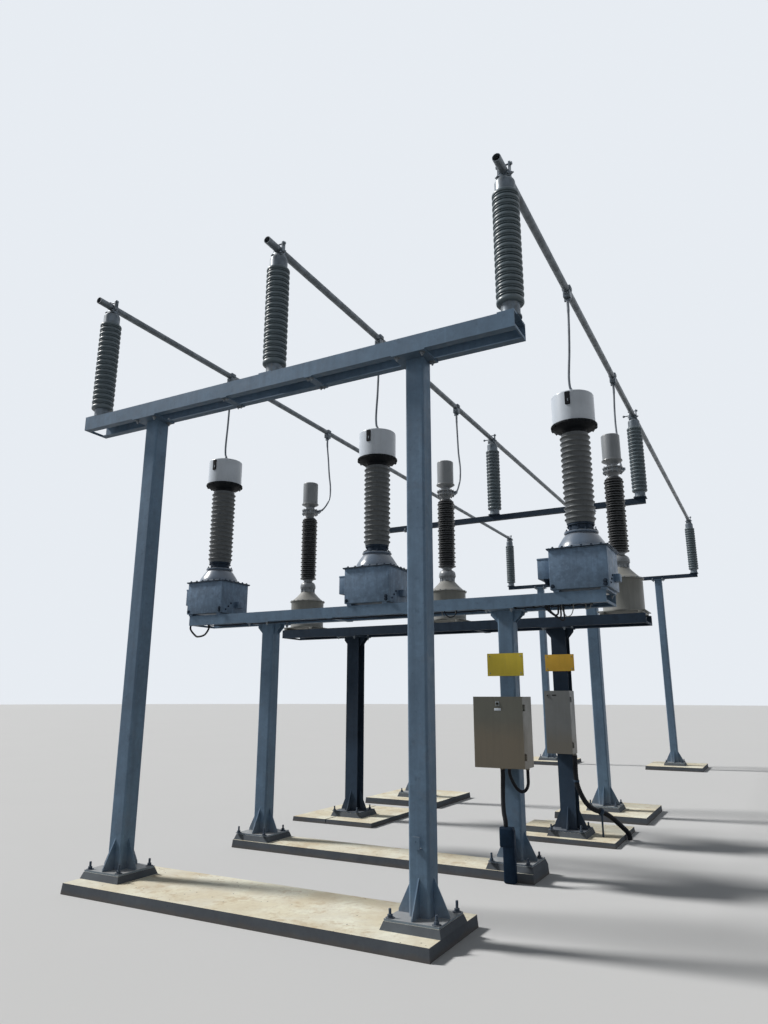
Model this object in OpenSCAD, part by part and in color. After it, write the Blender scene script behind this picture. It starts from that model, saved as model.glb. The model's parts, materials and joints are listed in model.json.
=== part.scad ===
// Substation switchgear bay. Three tube busbars run along Y on post insulators, carried by
// portal frames. Two rows of voltage transformers stand under them on lower frames.
// Millimetres. X runs across the phases, Y along the busbars, Z up from the ground.

/* [Bay layout] */
// Distance between neighbouring phases, axis to axis
phase_spacing = 2500; // [2400:10:2600]
// Distance between the two posts of each frame, axis to axis
post_spacing = 3230; // [3100:10:3400]
// Place along Y of the posts under the wound voltage transformers
vt_frame_y = 2235; // [2150:5:2600]
// Place along Y of the posts under the capacitor voltage transformers
cvt_frame_y = 4430; // [4300:5:4700]
// Place along Y of the middle busbar support's posts
middle_frame_y = 6568; // [6400:1:7000]
// Place along Y of the end busbar support's posts
end_frame_y = 14965; // [12000:5:16000]

/* [Busbar tubes] */
// Outer diameter of a busbar tube
bus_d = 80; // [70:1:90]
// Wall thickness of a busbar tube
bus_wall = 6; // [4:0.5:10]
// Height of the tube axes over the ground
bus_z = 6362; // [6200:1:6600]
// Length of tube past the axes of the first and last insulators
bus_overhang = 213; // [120:1:400]
// Shift of the tubes and their supports to the right of the posts' middle
bus_shift = 30; // [0:1:40]
// Place along Y of the droppers to the wound voltage transformers
vt_dropper_y = 2150; // [2140:5:2200]
// Place along Y of the droppers to the capacitor voltage transformers
cvt_dropper_y = 4797; // [4750:1:4850]
// Diameter of the flexible droppers
dropper_d = 35; // [20:1:40]

/* [Posts] */
// Width across the flats of a hollow post
post_w = 175; // [150:5:200]
// Wall thickness of a hollow post
post_wall = 8; // [5:1:12]
// Outer corner radius of a hollow post
post_corner = 20; // [12:1:30]
// Width and depth of a base plate
base_plate = 450; // [440:5:500]
// Thickness of a base plate
base_plate_t = 16; // [12:1:25]
// Height of the gussets at a post's foot
gusset_h = 270; // [150:5:350]
// Thickness of the gussets
gusset_t = 10; // [6:1:16]
// Width of an H-section post across its flanges
h_post_w = 200; // [180:5:220]
// Thickness of an H-section post's flanges and web
h_post_t = 12; // [8:1:16]
// Height over the base plate at which the front right post carries its earthing lug
earth_lug_z = 490; // [350:10:900]

/* [Busbar support beams] */
// Height of the beams' undersides over the ground
support_beam_z = 4733; // [4600:1:4900]
// Depth of the channels
support_channel = 150; // [125:5:200]
// Breadth of a beam over its two webs
support_breadth = 307; // [280:1:340]
// Half the length of a beam
support_half = 2575; // [2560:5:2700]
// Distance from the posts' axes to the beam's middle line, towards the front
support_offset = 66; // [40:1:80]
// Width and depth of the square tubes that carry the middle and end insulators
square_beam = 90; // [75:5:125]
// Height of their undersides over the ground
square_beam_z = 4820; // [4750:5:4850]

/* [Transformer beams] */
// Height of the wound transformers' beam underside
vt_beam_z = 2687; // [2500:1:2900]
// Height of the capacitor transformers' beam underside
cvt_beam_z = 2670; // [2500:1:2900]
// Depth of the channels under the transformers
low_channel = 125; // [100:5:150]
// Breadth of these beams over their two webs
low_breadth = 501; // [480:1:540]
// Half the length of the wound transformers' beam
vt_half = 2760; // [2740:5:2850]
// Half the length of the capacitor transformers' beam
cvt_half = 2800; // [2750:5:2950]
// Distance from the posts' axes to the wound transformers' axes, towards the front
vt_offset = 62; // [40:1:80]
// Distance from the posts' axes to the capacitor transformers' axes, towards the front
cvt_offset = 78; // [40:1:90]

/* [Post insulators] */
// Diameter of the sheds
post_shed_d = 244; // [220:2:260]
// Diameter of the porcelain between the sheds
post_core_d = 196; // [150:2:200]
// Number of sheds
post_sheds = 17; // [12:1:22]
// Height of the cast foot on the front support
post_foot_h = 125; // [60:1:140]
// Height of the cast cap
post_cap_h = 148; // [80:1:160]

/* [Wound voltage transformers] */
// Width of a tank along X
vt_tank_w = 602; // [560:2:640]
// Depth of a tank along Y
vt_tank_d = 535; // [500:1:580]
// Height of a tank under its lid
vt_tank_h = 425; // [380:5:460]
// Height of the turret between the lid and the porcelain
vt_turret_h = 290; // [200:2:320]
// Height of the porcelain
vt_porcelain_h = 1015; // [900:1:1200]
// Diameter of the sheds
vt_shed_d = 330; // [320:2:360]
// Number of sheds
vt_sheds = 16; // [12:1:24]
// Diameter of the head
vt_head_d = 466; // [440:2:560]
// Height of the head's cylinder
vt_head_h = 347; // [320:1:440]

/* [Capacitor voltage transformers] */
// Diameter of a tank
cvt_tank_d = 526; // [480:2:560]
// Height of a tank under its brim
cvt_tank_h = 412; // [360:2:440]
// Height of the porcelain
cvt_porcelain_h = 1041; // [900:1:1200]
// Diameter of the sheds
cvt_shed_d = 264; // [250:2:300]
// Number of sheds
cvt_sheds = 15; // [12:1:26]
// Height of the flanged joint under the cap
cvt_joint_h = 263; // [180:1:280]
// Diameter of the cap
cvt_cap_d = 250; // [220:2:260]
// Height of the cap
cvt_cap_h = 355; // [340:5:420]

/* [Control boxes] */
// Width of the wound transformers' control box
box_b_w = 530; // [450:10:550]
// Height of the wound transformers' control box
box_b_h = 700; // [600:10:750]
// Height of its underside over the ground
box_b_z = 1065; // [1000:5:1200]
// Width of the capacitor transformers' control box
box_c_w = 330; // [300:10:350]
// Height of the capacitor transformers' control box
box_c_h = 780; // [700:10:800]
// Height of its underside over the ground
box_c_z = 1060; // [1000:5:1200]
// Thickness of the doors
door_t = 22; // [18:1:30]
// Sheet thickness of the boxes and doors
sheet_t = 3; // [2:0.5:5]

/* [Plinths] */
// Height of the front plinth over the ground
plinth_a_h = 92; // [60:1:150]
// Height of the wound transformers' plinth over the ground
plinth_b_h = 86; // [60:1:150]
// Height of the capacitor transformers' pads over the ground
pad_c_h = 60; // [40:1:100]
// Height of the middle and end supports' pads over the ground
pad_d_h = 90; // [40:1:120]
// Height of the bevelled bedding under the base plates
bedding_h = 58; // [30:1:80]

/* [Hidden] */
$fn = 64;

// Phases in order along X
LEFT = -1;
MIDDLE = 0;
RIGHT = 1;

// Channel sections
support_flange = 75;
support_flange_t = 10;
support_web_t = 6;
low_flange = 65;
low_flange_t = 8;
low_web_t = 5;

// Beam details
end_bar_t = 12;
end_bar_h = 25;
batten_w = 80;
batten_t = 8;
batten_x = 520;
foot_plate_w = 150;
foot_plate_t = 10;
head_plate_w = 330;
head_plate_t = 12;
bracket_plate_w = 350;
bracket_plate_t = 10;
bracket_h = 130;
bracket_toe = 40;
square_beam_t = 6;
square_head_d = 220;
square_foot_w = 190;

// Foot of a post
vent_r = 30;
anchor_r = 13;
anchor_pitch = 380;
gusset_toe = 20;
gusset_clear = 12;
lug_w = 60;
lug_h = 90;
lug_t = 8;
lug_hole_r = 7;
lug_reach = 40;

// Post insulators, from the beam's top plate to the clamp
clamp_seat = 48;
collar_d = 244;
collar_h = 52;
casting_d = 172;
casting_rim = 10;
cap_d = 186;
support_top = support_beam_z + support_channel + foot_plate_t;
clamp_z = bus_z - bus_d / 2 - clamp_seat;
porcelain_z = support_top + post_foot_h;
porcelain_h = clamp_z - post_cap_h - porcelain_z;
support_y = -support_offset;
square_top = square_beam_z + square_beam + foot_plate_t;

// Clamps on the busbar tubes
clamp_w = 130;
clamp_l = 110;
clamp_plate_t = 14;
ear_x = 52;
ear_t = 12;
ear_w = 50;
ear_top = 70;
ear_bolt_r = 8;
stud_r = 9;
stud_reach = 150;
stud_ball_r = 20;
palm_w = 70;
palm_l = 90;
palm_block = 60;
palm_t = 14;
palm_drop = 140;

// Wound voltage transformers, upwards from the beam
vt_y = vt_frame_y - vt_offset;
vt_foot_h = 24;
vt_foot_w = 60;
vt_lid_t = 13;
vt_lid_over = 19;
vt_tank_z = vt_beam_z + low_channel;
vt_lid_z = vt_tank_z + vt_foot_h + vt_tank_h;
vt_porcelain_z = vt_lid_z + vt_lid_t + vt_turret_h;
vt_head_z = vt_porcelain_z + vt_porcelain_h;
vt_core_d = 276;
vt_neck_h = 29;
vt_skirt_h = 108;
vt_skirt_over = 9;
vt_head_neck_r = 128;
vt_box_reach = 168;
vt_box_w = 250;
vt_box_h = 225;
vt_box_z = 282;
vt_valve = [60, 110, 80];
vt_valve_y = 60;
vt_valve_z = 110;
vt_stud_h = 46;

// Capacitor voltage transformers, upwards from the beam
cvt_y = cvt_frame_y - cvt_offset;
cvt_foot_h = 33;
cvt_foot_w = 60;
cvt_base = [600, 500, 12];
cvt_brim_t = 14;
cvt_brim_over = 18;
cvt_cover_h = 155;
cvt_collar_h = 66;
cvt_adapter_h = 210;
cvt_tank_z = cvt_beam_z + low_channel;
cvt_brim_z = cvt_tank_z + cvt_foot_h + cvt_base[2] + cvt_tank_h;
cvt_cover_z = cvt_brim_z + cvt_brim_t;
cvt_porcelain_z = cvt_cover_z + cvt_cover_h + cvt_adapter_h;
cvt_joint_z = cvt_porcelain_z + cvt_porcelain_h;
cvt_core_d = 190;
cvt_ring_r = 135;
cvt_lug_angle = 41;
cvt_lug_r = 165;
cvt_lug_z = 113;

// Control boxes, in front of the right posts
box_b_d = 270;
box_b_x = post_spacing / 2 - 15;
box_c_d = 208;
door_gap = 5;
rib_w = 18;
hinge_out = 12;
knuckle_r = 7;
knuckle_h = 20;
knuckle_gap = 3;
pin_r = 4;
pin_clear = 0.8;
leaf_t = 4;
hinge_inset = 110;
gland_r = 26;
gland_h = 22;
latch_r = 16;
latch_h = 9;
sign_t = 3;
sign_b_w = 405;
sign_b_h = 240;
sign_b_z = 1980;
sign_c_w = 390;
sign_c_h = 220;
sign_c_z = 2096;
post_b_face = vt_frame_y - post_w / 2;
post_c_face = cvt_frame_y - h_post_w / 2;
post_x = post_spacing / 2;

// Plinths and pads
plinth_a_half = 1868;
plinth_a_front = 450;
plinth_a_back = 470;
plinth_b_half = 1870;
plinth_b_front = 275;
plinth_b_back = 255;
plinth_bevel = 8;
bedding_w = 500;
bedding_bevel = 22;
pads_c_xy = [[-2340, -1774, -540], [-1768, -1020, -540], [1000, 2230, -360]];
pad_c_back = 970;
loose_slab = [990, 1350, -70, 460];
loose_slab_h = 70;
pad_d_x = [[-2300, -970], [970, 2300]];
pad_d_y = [-598, 900];

// Cables, clamped or glanded at both ends
cable_sides = 8;
cable_b_d = 45;
cable_loop_d = 32;
hose_d = 64;
sleeve_w = 120;
sleeve_d = 78;
sleeve_h = 510;
sleeve_x = 1649;
sleeve_y = 1912;
socket_w = 142;
socket_d = 84;
socket_h = 187;
socket_x = 1631;
stake_x = 2013;
stake_y = 4441;
stake_r = 12;
stake_h = 256;
vt_dropper_route = [[30, 0, 6222], [30, 0, 6100], [22, 0, 5840], [8, 5, 5580],
    [-8, 10, 5400], [-18, 15, 5260], [-14, 18, 5160], [0, 20, 5120], [0, 20, 5080]];
cvt_dropper_route = [[30, 0, 6222], [30, 0, 6110], [42, -8, 5830], [62, -32, 5560],
    [102, -78, 5300], [121, -140, 5090], [122, -212, 4945], [122, -284, 4850], [124, -332, 4826]];
// How far each point of an outer phase's dropper bows towards the middle phase
cvt_dropper_bow = [0, 0, 22, 40, 60, 70, 50, 20, 0];
cable_b_route = [[1580, 1995, 1043], [1580, 1995, 980], [1579, 1988, 890], [1581, 1972, 770],
    [1594, 1942, 650], [1616, 1916, 570], [1620, 1912, 540], [1620, 1912, 510]];
cable_loop_route = [[1633, 2055, 1043], [1633, 2055, 1000], [1650, 2055, 950], [1680, 2055, 893],
    [1718, 2055, 848], [1760, 2055, 830], [1800, 2055, 852], [1824, 2055, 905], [1826, 2055, 985],
    [1826, 2055, 1043]];
hose_route = [[1768, 4230, 1038], [1768, 4230, 950], [1765, 4231, 840], [1768, 4240, 728],
    [1787, 4256, 632], [1815, 4282, 548], [1853, 4312, 470], [1903, 4350, 409], [1952, 4400, 373],
    [2002, 4450, 353], [2051, 4500, 326], [2110, 4560, 275], [2168, 4620, 210], [2222, 4690, 140],
    [2264, 4750, 76], [2274, 4764, 30], [2274, 4764, 0]];

cable_loop_end = cable_loop_route[len(cable_loop_route) - 1];

// The origin is under the middle of the whole bay
bay_left = phase_spacing + vt_tank_w / 2 + vt_box_reach;
bay_right = phase_spacing + vt_tank_w / 2 + vt_valve[0];
x_mid = (bay_right - bay_left) / 2;
y_mid = (end_frame_y + pad_d_y[1] - plinth_a_front) / 2;

concrete = "tan";
galvanised = "lightsteelblue";
weathered = "slategray";
porcelain = "darkslategray";

function unit(v) = v / norm(v);

function tangent(path, i) =
    unit(path[min(i + 1, len(path) - 1)] - path[max(i - 1, 0)]);

function ring(path, i, r, across) =
    let (t = tangent(path, i), u = unit(cross(across, t)), v = cross(t, u))
    [for (k = [0:cable_sides - 1])
        let (a = 360 * k / cable_sides)
        path[i] + r * (cos(a) * u + sin(a) * v)];

// Sheds slope down to a thin rim, with a hollow between one and the next
function sheds(z, pitch, count, core_r, shed_r) =
    [for (i = [0:count - 1])
        each [[core_r, z + i * pitch],
            [shed_r, z + i * pitch + 0.12 * pitch],
            [shed_r, z + i * pitch + 0.32 * pitch],
            [core_r, z + i * pitch + 0.78 * pitch]]];

module placed() {
    translate([-x_mid, -y_mid, 0]) children();
}

module at_phase(k, y) {
    placed() translate([k * phase_spacing, y, 0]) children();
}

module each_bus(y) {
    for (k = [LEFT, MIDDLE, RIGHT]) at_phase(k, y) translate([bus_shift, 0, 0]) children();
}

module each_post(y) {
    for (side = [-1, 1]) placed() translate([side * post_x, y, 0]) children();
}

// A tube swept along a route, with flat ends
module cable(path, d, across) {
    last = len(path) - 1;
    polyhedron(
        [for (i = [0:last]) each ring(path, i, d / 2, across)],
        concat(
            [[for (k = [0:cable_sides - 1]) k]],
            [for (i = [0:last - 1], k = [0:cable_sides - 1])
                let (next = (k + 1) % cable_sides, a = i * cable_sides, b = a + cable_sides)
                [a + k, b + k, b + next, a + next]],
            [[for (k = [cable_sides - 1:-1:0]) last * cable_sides + k]]));
}

module rounded_square(w, r) {
    square([w, w - 2 * r], center = true);
    square([w - 2 * r, w], center = true);
    for (x = [-1, 1], y = [-1, 1]) translate([x, y] * (w / 2 - r)) circle(r);
}

// A block whose top edges are bevelled on all four sides
module bevel_block(w, d, h, bevel) {
    intersection() {
        translate([0, d / 2, 0]) rotate([90, 0, 0]) linear_extrude(d)
            polygon([[-w / 2, 0], [w / 2, 0], [w / 2 - bevel, h], [bevel - w / 2, h]]);
        translate([-w / 2, 0, 0]) rotate([90, 0, 90]) linear_extrude(w)
            polygon([[-d / 2, 0], [d / 2, 0], [d / 2 - bevel, h], [bevel - d / 2, h]]);
    }
}

module slab(x0, x1, y0, y1, h) {
    translate([(x0 + x1) / 2, (y0 + y1) / 2, 0]) bevel_block(x1 - x0, y1 - y0, h, plinth_bevel);
}

module bedding(z) {
    translate([0, 0, z]) bevel_block(bedding_w, bedding_w, bedding_h, bedding_bevel);
}

module centred_plate(w, d, t) {
    translate([-w / 2, -d / 2, 0]) cube([w, d, t]);
}

// Four upright plates that stiffen a post's foot
module gussets(face) {
    reach = base_plate / 2 - gusset_clear - face;
    for (turn = [0:90:270])
        rotate([0, 0, turn]) translate([face, gusset_t / 2, base_plate_t]) rotate([90, 0, 0])
            linear_extrude(gusset_t)
                polygon([[-1, 0], [reach, 0], [reach, gusset_toe], [0, gusset_h], [-1, gusset_h]]);
}

module anchor_holes() {
    for (x = [-1, 1], y = [-1, 1])
        translate([x * anchor_pitch / 2, y * anchor_pitch / 2, -1])
            cylinder(r = anchor_r, h = base_plate_t + 2);
}

// A hollow square post on its base plate, standing at z and open at its top
module square_post(z, top) {
    translate([0, 0, z]) difference() {
        union() {
            centred_plate(base_plate, base_plate, base_plate_t);
            linear_extrude(top - z) rounded_square(post_w, post_corner);
            gussets(post_w / 2);
        }
        translate([0, 0, base_plate_t]) linear_extrude(top - z)
            rounded_square(post_w - 2 * post_wall, post_corner - post_wall);
        translate([0, 0, -1]) cylinder(r = vent_r, h = base_plate_t + 2);
        anchor_holes();
    }
}

// An H-section post on its base plate, with its flanges to the front and back
module h_post(z, top) {
    translate([0, 0, z]) difference() {
        union() {
            centred_plate(base_plate, base_plate, base_plate_t);
            centred_plate(h_post_t, h_post_w, top - z);
            for (side = [-1, 1]) translate([0, side * (h_post_w - h_post_t) / 2, 0])
                centred_plate(h_post_w, h_post_t, top - z);
            gussets(h_post_w / 2);
        }
        anchor_holes();
    }
}

// Two channels back to back, webs outwards, joined by bars at the ends and battens below
module channel_pair(half, breadth, depth, flange, flange_t, web_t) {
    section = [[0, 0], [flange, 0], [flange, flange_t], [web_t, flange_t],
        [web_t, depth - flange_t], [flange, depth - flange_t], [flange, depth], [0, depth]];
    for (side = [0, 1]) mirror([0, side, 0]) translate([-half, -breadth / 2, 0])
        rotate([90, 0, 90]) linear_extrude(2 * half) polygon(section);
    for (side = [-1, 1]) {
        translate([side * (half - end_bar_t / 2), 0, 0])
            centred_plate(end_bar_t, breadth - web_t, end_bar_h);
        translate([side * batten_x, 0, -batten_t]) centred_plate(batten_w, breadth, batten_t);
    }
}

// The plate and side cheeks that widen a lower post's head
module head_bracket(z, shift, half_post) {
    translate([0, -shift, z - bracket_plate_t])
        centred_plate(bracket_plate_w, low_breadth, bracket_plate_t);
    cheek = bracket_plate_w / 2 - half_post;
    for (side = [0, 1], y = [-1, 1]) mirror([side, 0, 0])
        translate([half_post, y * half_post / 2 + gusset_t / 2, z - bracket_plate_t])
            rotate([90, 0, 0]) linear_extrude(gusset_t)
                polygon([[-1, 0], [cheek, 0], [cheek, -bracket_toe], [0, -bracket_h],
                    [-1, -bracket_h]]);
}

// The posts of a busbar support: their feet stand at z, the beam lies at top
module support_posts(y, z, top, head_d) {
    color(galvanised) each_post(y) {
        square_post(z, top - head_plate_t);
        translate([0, (post_w - head_d) / 2, top - head_plate_t])
            centred_plate(head_plate_w, head_d, head_plate_t);
    }
}

module front_beam() {
    color(galvanised) placed() translate([bus_shift, support_y, support_beam_z]) {
        channel_pair(support_half, support_breadth, support_channel, support_flange,
            support_flange_t, support_web_t);
        for (k = [LEFT, MIDDLE, RIGHT]) translate([k * phase_spacing, 0, support_channel])
            centred_plate(foot_plate_w, support_breadth, foot_plate_t);
    }
}

// The open-ended square tube of the middle and end supports, with its foot plates
module back_beam(y) {
    inner = square_beam - 2 * square_beam_t;
    color(weathered) placed() translate([bus_shift, y + support_y, square_beam_z]) {
        difference() {
            centred_plate(2 * support_half, square_beam, square_beam);
            translate([0, 0, square_beam_t]) centred_plate(2 * support_half + 2, inner, inner);
        }
        for (k = [LEFT, MIDDLE, RIGHT]) translate([k * phase_spacing, 0, square_beam])
            centred_plate(square_foot_w, square_foot_w, foot_plate_t);
    }
}

module post_insulator() {
    pitch = (porcelain_h - collar_h) / post_sheds;
    translate([0, 0, porcelain_z]) rotate_extrude() polygon(concat(
        [[0, 0], [collar_d / 2 - 20, 0], [collar_d / 2, 15], [collar_d / 2, collar_h - 15]],
        sheds(collar_h, pitch, post_sheds, post_core_d / 2, post_shed_d / 2),
        [[post_core_d / 2, porcelain_h], [0, porcelain_h]]));
}

// The cast foot that stands at foot_z, and the cap under the clamp
module post_casting(foot_z) {
    foot_r = casting_d / 2;
    foot_h = porcelain_z - foot_z;
    cap_r = cap_d / 2;
    translate([0, 0, foot_z]) rotate_extrude()
        polygon([[0, 0], [foot_r + casting_rim, 0], [foot_r + casting_rim, 16], [foot_r, 20],
            [foot_r, foot_h], [0, foot_h]]);
    translate([0, 0, clamp_z - post_cap_h]) rotate_extrude()
        polygon([[0, 0], [cap_r, 0], [cap_r, post_cap_h - 38], [cap_r - 10, post_cap_h - 12],
            [cap_r - 28, post_cap_h], [0, post_cap_h]]);
}

module support_insulators(y) {
    color(porcelain) each_bus(y + support_y) post_insulator();
}

module support_castings(y, foot_z) {
    color(weathered) each_bus(y + support_y) post_casting(foot_z);
}

module plinth_a() {
    color(concrete) {
        placed() slab(-plinth_a_half, plinth_a_half, -plinth_a_front, plinth_a_back, plinth_a_h);
        each_post(0) bedding(plinth_a_h);
    }
}

// The front posts, with an earthing lug on the right one
module posts_a() {
    difference() {
        union() {
            support_posts(0, plinth_a_h + bedding_h, support_beam_z, support_breadth);
            color(galvanised) placed()
                translate([post_x, -post_w / 2 - lug_reach / 2, plinth_a_h + bedding_h + earth_lug_z]) {
                    translate([-lug_w / 2, lug_t - lug_reach / 2, 0]) cube([lug_w, lug_reach - lug_t, lug_t]);
                    translate([-lug_w / 2, -lug_reach / 2, 0]) cube([lug_w, lug_t, lug_h]);
                }
        }
        placed() translate([post_x, -post_w / 2, plinth_a_h + bedding_h + earth_lug_z + lug_h * 0.6])
            rotate([90, 0, 0]) cylinder(r = lug_hole_r, h = lug_reach + 1);
    }
}

module plinth_b() {
    color(concrete) {
        placed() translate([0, vt_frame_y, 0])
            slab(-plinth_b_half, plinth_b_half, -plinth_b_front, plinth_b_back, plinth_b_h);
        each_post(vt_frame_y) bedding(plinth_b_h);
    }
}

module posts_b() {
    color(galvanised) each_post(vt_frame_y) {
        square_post(plinth_b_h + bedding_h, vt_beam_z - bracket_plate_t);
        head_bracket(vt_beam_z, vt_offset, post_w / 2);
    }
}

module low_beam(y, z, half) {
    placed() translate([0, y, z])
        channel_pair(half, low_breadth, low_channel, low_flange, low_flange_t, low_web_t);
}

module beam_b() {
    color(galvanised) low_beam(vt_y, vt_beam_z, vt_half);
}

// A tank on two foot bars, with an overhanging lid, a turret, and a terminal box on its left
module vt_tank() {
    color("gainsboro") {
        for (side = [-1, 1]) translate([side * (vt_tank_w / 2 - vt_foot_w), 0, vt_tank_z])
            centred_plate(vt_foot_w, vt_tank_d - 20, vt_foot_h);
        translate([0, 0, vt_tank_z + vt_foot_h]) centred_plate(vt_tank_w, vt_tank_d, vt_tank_h);
        translate([0, 0, vt_lid_z])
            centred_plate(vt_tank_w + 2 * vt_lid_over, vt_tank_d + 2 * vt_lid_over, vt_lid_t);
        translate([0, 0, vt_lid_z + vt_lid_t]) rotate_extrude()
            polygon([[0, 0], [270, 0], [270, 14], [251, 48], [226, 90], [197, 134], [172, 165],
                [160, 178], [180, 180], [180, 198], [142, 200], [142, vt_turret_h], [0, vt_turret_h]]);
        translate([-vt_tank_w / 2 - vt_box_reach, -vt_box_w / 2, vt_tank_z + vt_box_z - vt_box_h / 2])
            cube([vt_box_reach, vt_box_w, vt_box_h]);
        translate([(vt_tank_w + vt_valve[0]) / 2, vt_valve_y, vt_tank_z + vt_valve_z])
            centred_plate(vt_valve[0], vt_valve[1], vt_valve[2]);
    }
}

module vt_insulator() {
    pitch = (vt_porcelain_h - vt_neck_h) / vt_sheds;
    color("rosybrown") translate([0, 0, vt_porcelain_z]) rotate_extrude() polygon(concat(
        [[0, 0]],
        sheds(0, pitch, vt_sheds, vt_core_d / 2, vt_shed_d / 2),
        [[vt_core_d / 2, vt_porcelain_h], [0, vt_porcelain_h]]));
}

// The head: a dark skirt that spreads to the cylinder, and the line terminal on top
module vt_head() {
    head_r = vt_head_d / 2;
    skirt_r = head_r + vt_skirt_over;
    color("whitesmoke") {
        translate([0, 0, vt_head_z]) rotate_extrude()
            polygon([[0, 0], [vt_head_neck_r, 0], [vt_head_neck_r, 40], [skirt_r - 42, 54],
                [skirt_r, vt_skirt_h - 18], [skirt_r, vt_skirt_h], [head_r, vt_skirt_h + 2],
                [head_r, vt_skirt_h + vt_head_h - 14], [head_r - 14, vt_skirt_h + vt_head_h],
                [0, vt_skirt_h + vt_head_h]]);
        translate([0, 0, vt_head_z + vt_skirt_h + vt_head_h - 1]) {
            cylinder(r = 20, h = vt_stud_h);
            translate([0, 0, 18]) centred_plate(90, 44, 16);
        }
    }
}

module pads_c() {
    color(concrete) {
        placed() translate([0, cvt_frame_y, 0]) {
            for (p = pads_c_xy) slab(p[0], p[1], p[2], pad_c_back, pad_c_h);
            translate([0, 0, pad_c_h])
                slab(loose_slab[0], loose_slab[1], loose_slab[2], loose_slab[3], loose_slab_h);
        }
        each_post(cvt_frame_y) bedding(pad_c_h);
    }
}

module posts_c() {
    color(weathered) each_post(cvt_frame_y) {
        h_post(pad_c_h + bedding_h, cvt_beam_z - bracket_plate_t);
        head_bracket(cvt_beam_z, cvt_offset, h_post_w / 2);
    }
}

module beam_c() {
    color(weathered) low_beam(cvt_y, cvt_beam_z, cvt_half);
}

// A round tank on a base plate and two foot bars, its brim, its conical cover and the bell on it
module cvt_tank() {
    tank_r = cvt_tank_d / 2;
    bell_z = cvt_cover_h + cvt_collar_h;
    top = cvt_cover_h + cvt_adapter_h;
    color("burlywood") {
        for (side = [-1, 1])
            translate([side * (cvt_base[0] / 2 - cvt_foot_w), 0, cvt_tank_z])
                centred_plate(cvt_foot_w, cvt_base[1], cvt_foot_h);
        translate([0, 0, cvt_tank_z + cvt_foot_h]) {
            centred_plate(cvt_base[0], cvt_base[1], cvt_base[2]);
            cylinder(r = tank_r, h = cvt_base[2] + cvt_tank_h);
        }
        translate([0, 0, cvt_brim_z]) cylinder(r = tank_r + cvt_brim_over, h = cvt_brim_t);
        translate([0, 0, cvt_cover_z]) rotate_extrude()
            polygon([[0, 0], [tank_r + 9, 0], [108, cvt_cover_h - 4], [104, cvt_cover_h],
                [104, bell_z - 16], [118, bell_z - 14], [118, bell_z - 2], [126, bell_z],
                [124, bell_z + 28], [112, bell_z + 66], [82, bell_z + 96], [70, bell_z + 102],
                [70, top], [0, top]]);
    }
}

module cvt_insulator() {
    pitch = cvt_porcelain_h / cvt_sheds;
    color("saddlebrown") translate([0, 0, cvt_porcelain_z]) rotate_extrude() polygon(concat(
        [[0, 0]],
        sheds(0, pitch, cvt_sheds, cvt_core_d / 2, cvt_shed_d / 2),
        [[cvt_core_d / 2, cvt_porcelain_h], [0, cvt_porcelain_h]]));
}

// The flanged joint, the cap on it, and the lug that takes the dropper
module cvt_cap() {
    cap_r = cvt_cap_d / 2;
    top = cvt_joint_h + cvt_cap_h;
    color("silver") {
        translate([0, 0, cvt_joint_z]) rotate_extrude()
            polygon([[0, 0], [82, 0], [82, 16], [64, 18], [64, 24], [100, 72], [cvt_ring_r, 76],
                [cvt_ring_r, 146], [70, 150], [70, 200], [cap_r + 16, 244], [cap_r + 16, 252],
                [cap_r, 258], [cap_r, top - 10], [cap_r - 10, top], [0, top]]);
        translate([0, 0, cvt_joint_z + cvt_lug_z]) rotate([0, 0, cvt_lug_angle])
            translate([cvt_ring_r - 10, -25, -15]) cube([cvt_lug_r - cvt_ring_r + 10, 50, 30]);
    }
}

module back_posts(y) {
    support_posts(y, pad_d_h + bedding_h, square_beam_z, square_head_d);
}

module back_pads(y) {
    color(concrete) {
        placed() translate([0, y, 0])
            for (x = pad_d_x) slab(x[0], x[1], pad_d_y[0], pad_d_y[1], pad_d_h);
        each_post(y) bedding(pad_d_h);
    }
}

// The cradle, ears and keeper bolt that hold a tube on an insulator; the tube's axis is z = 0
module bus_clamp() {
    seat = -bus_d / 2 - clamp_seat;
    translate([0, 0, seat]) centred_plate(clamp_w, clamp_l, clamp_plate_t);
    translate([0, 0, seat + clamp_plate_t]) centred_plate(2 * ear_x, ear_w + 20, -seat - clamp_plate_t);
    for (side = [-1, 1]) translate([side * ear_x, 0, seat + clamp_plate_t]) {
        centred_plate(ear_t, ear_w, ear_top - seat - clamp_plate_t);
        translate([-ear_t / 2, 0, ear_top - seat - clamp_plate_t]) rotate([0, 90, 0])
            cylinder(r = ear_w / 2, h = ear_t);
    }
    translate([-ear_x - 20, 0, ear_top]) rotate([0, 90, 0]) cylinder(r = ear_bolt_r, h = 2 * ear_x + 40);
}

module earthing_stud() {
    translate([-stud_reach, 0, 0]) {
        rotate([0, 90, 0]) cylinder(r = stud_r, h = stud_reach - ear_x);
        sphere(stud_ball_r);
    }
}

// The block under a tube and the palm that a dropper is bolted to
module dropper_palm() {
    translate([0, 0, -bus_d / 2 - palm_block / 2]) centred_plate(palm_w, palm_l, palm_block);
    translate([0, 0, -palm_drop]) centred_plate(palm_w, palm_t, palm_drop - bus_d / 2);
}

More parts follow.
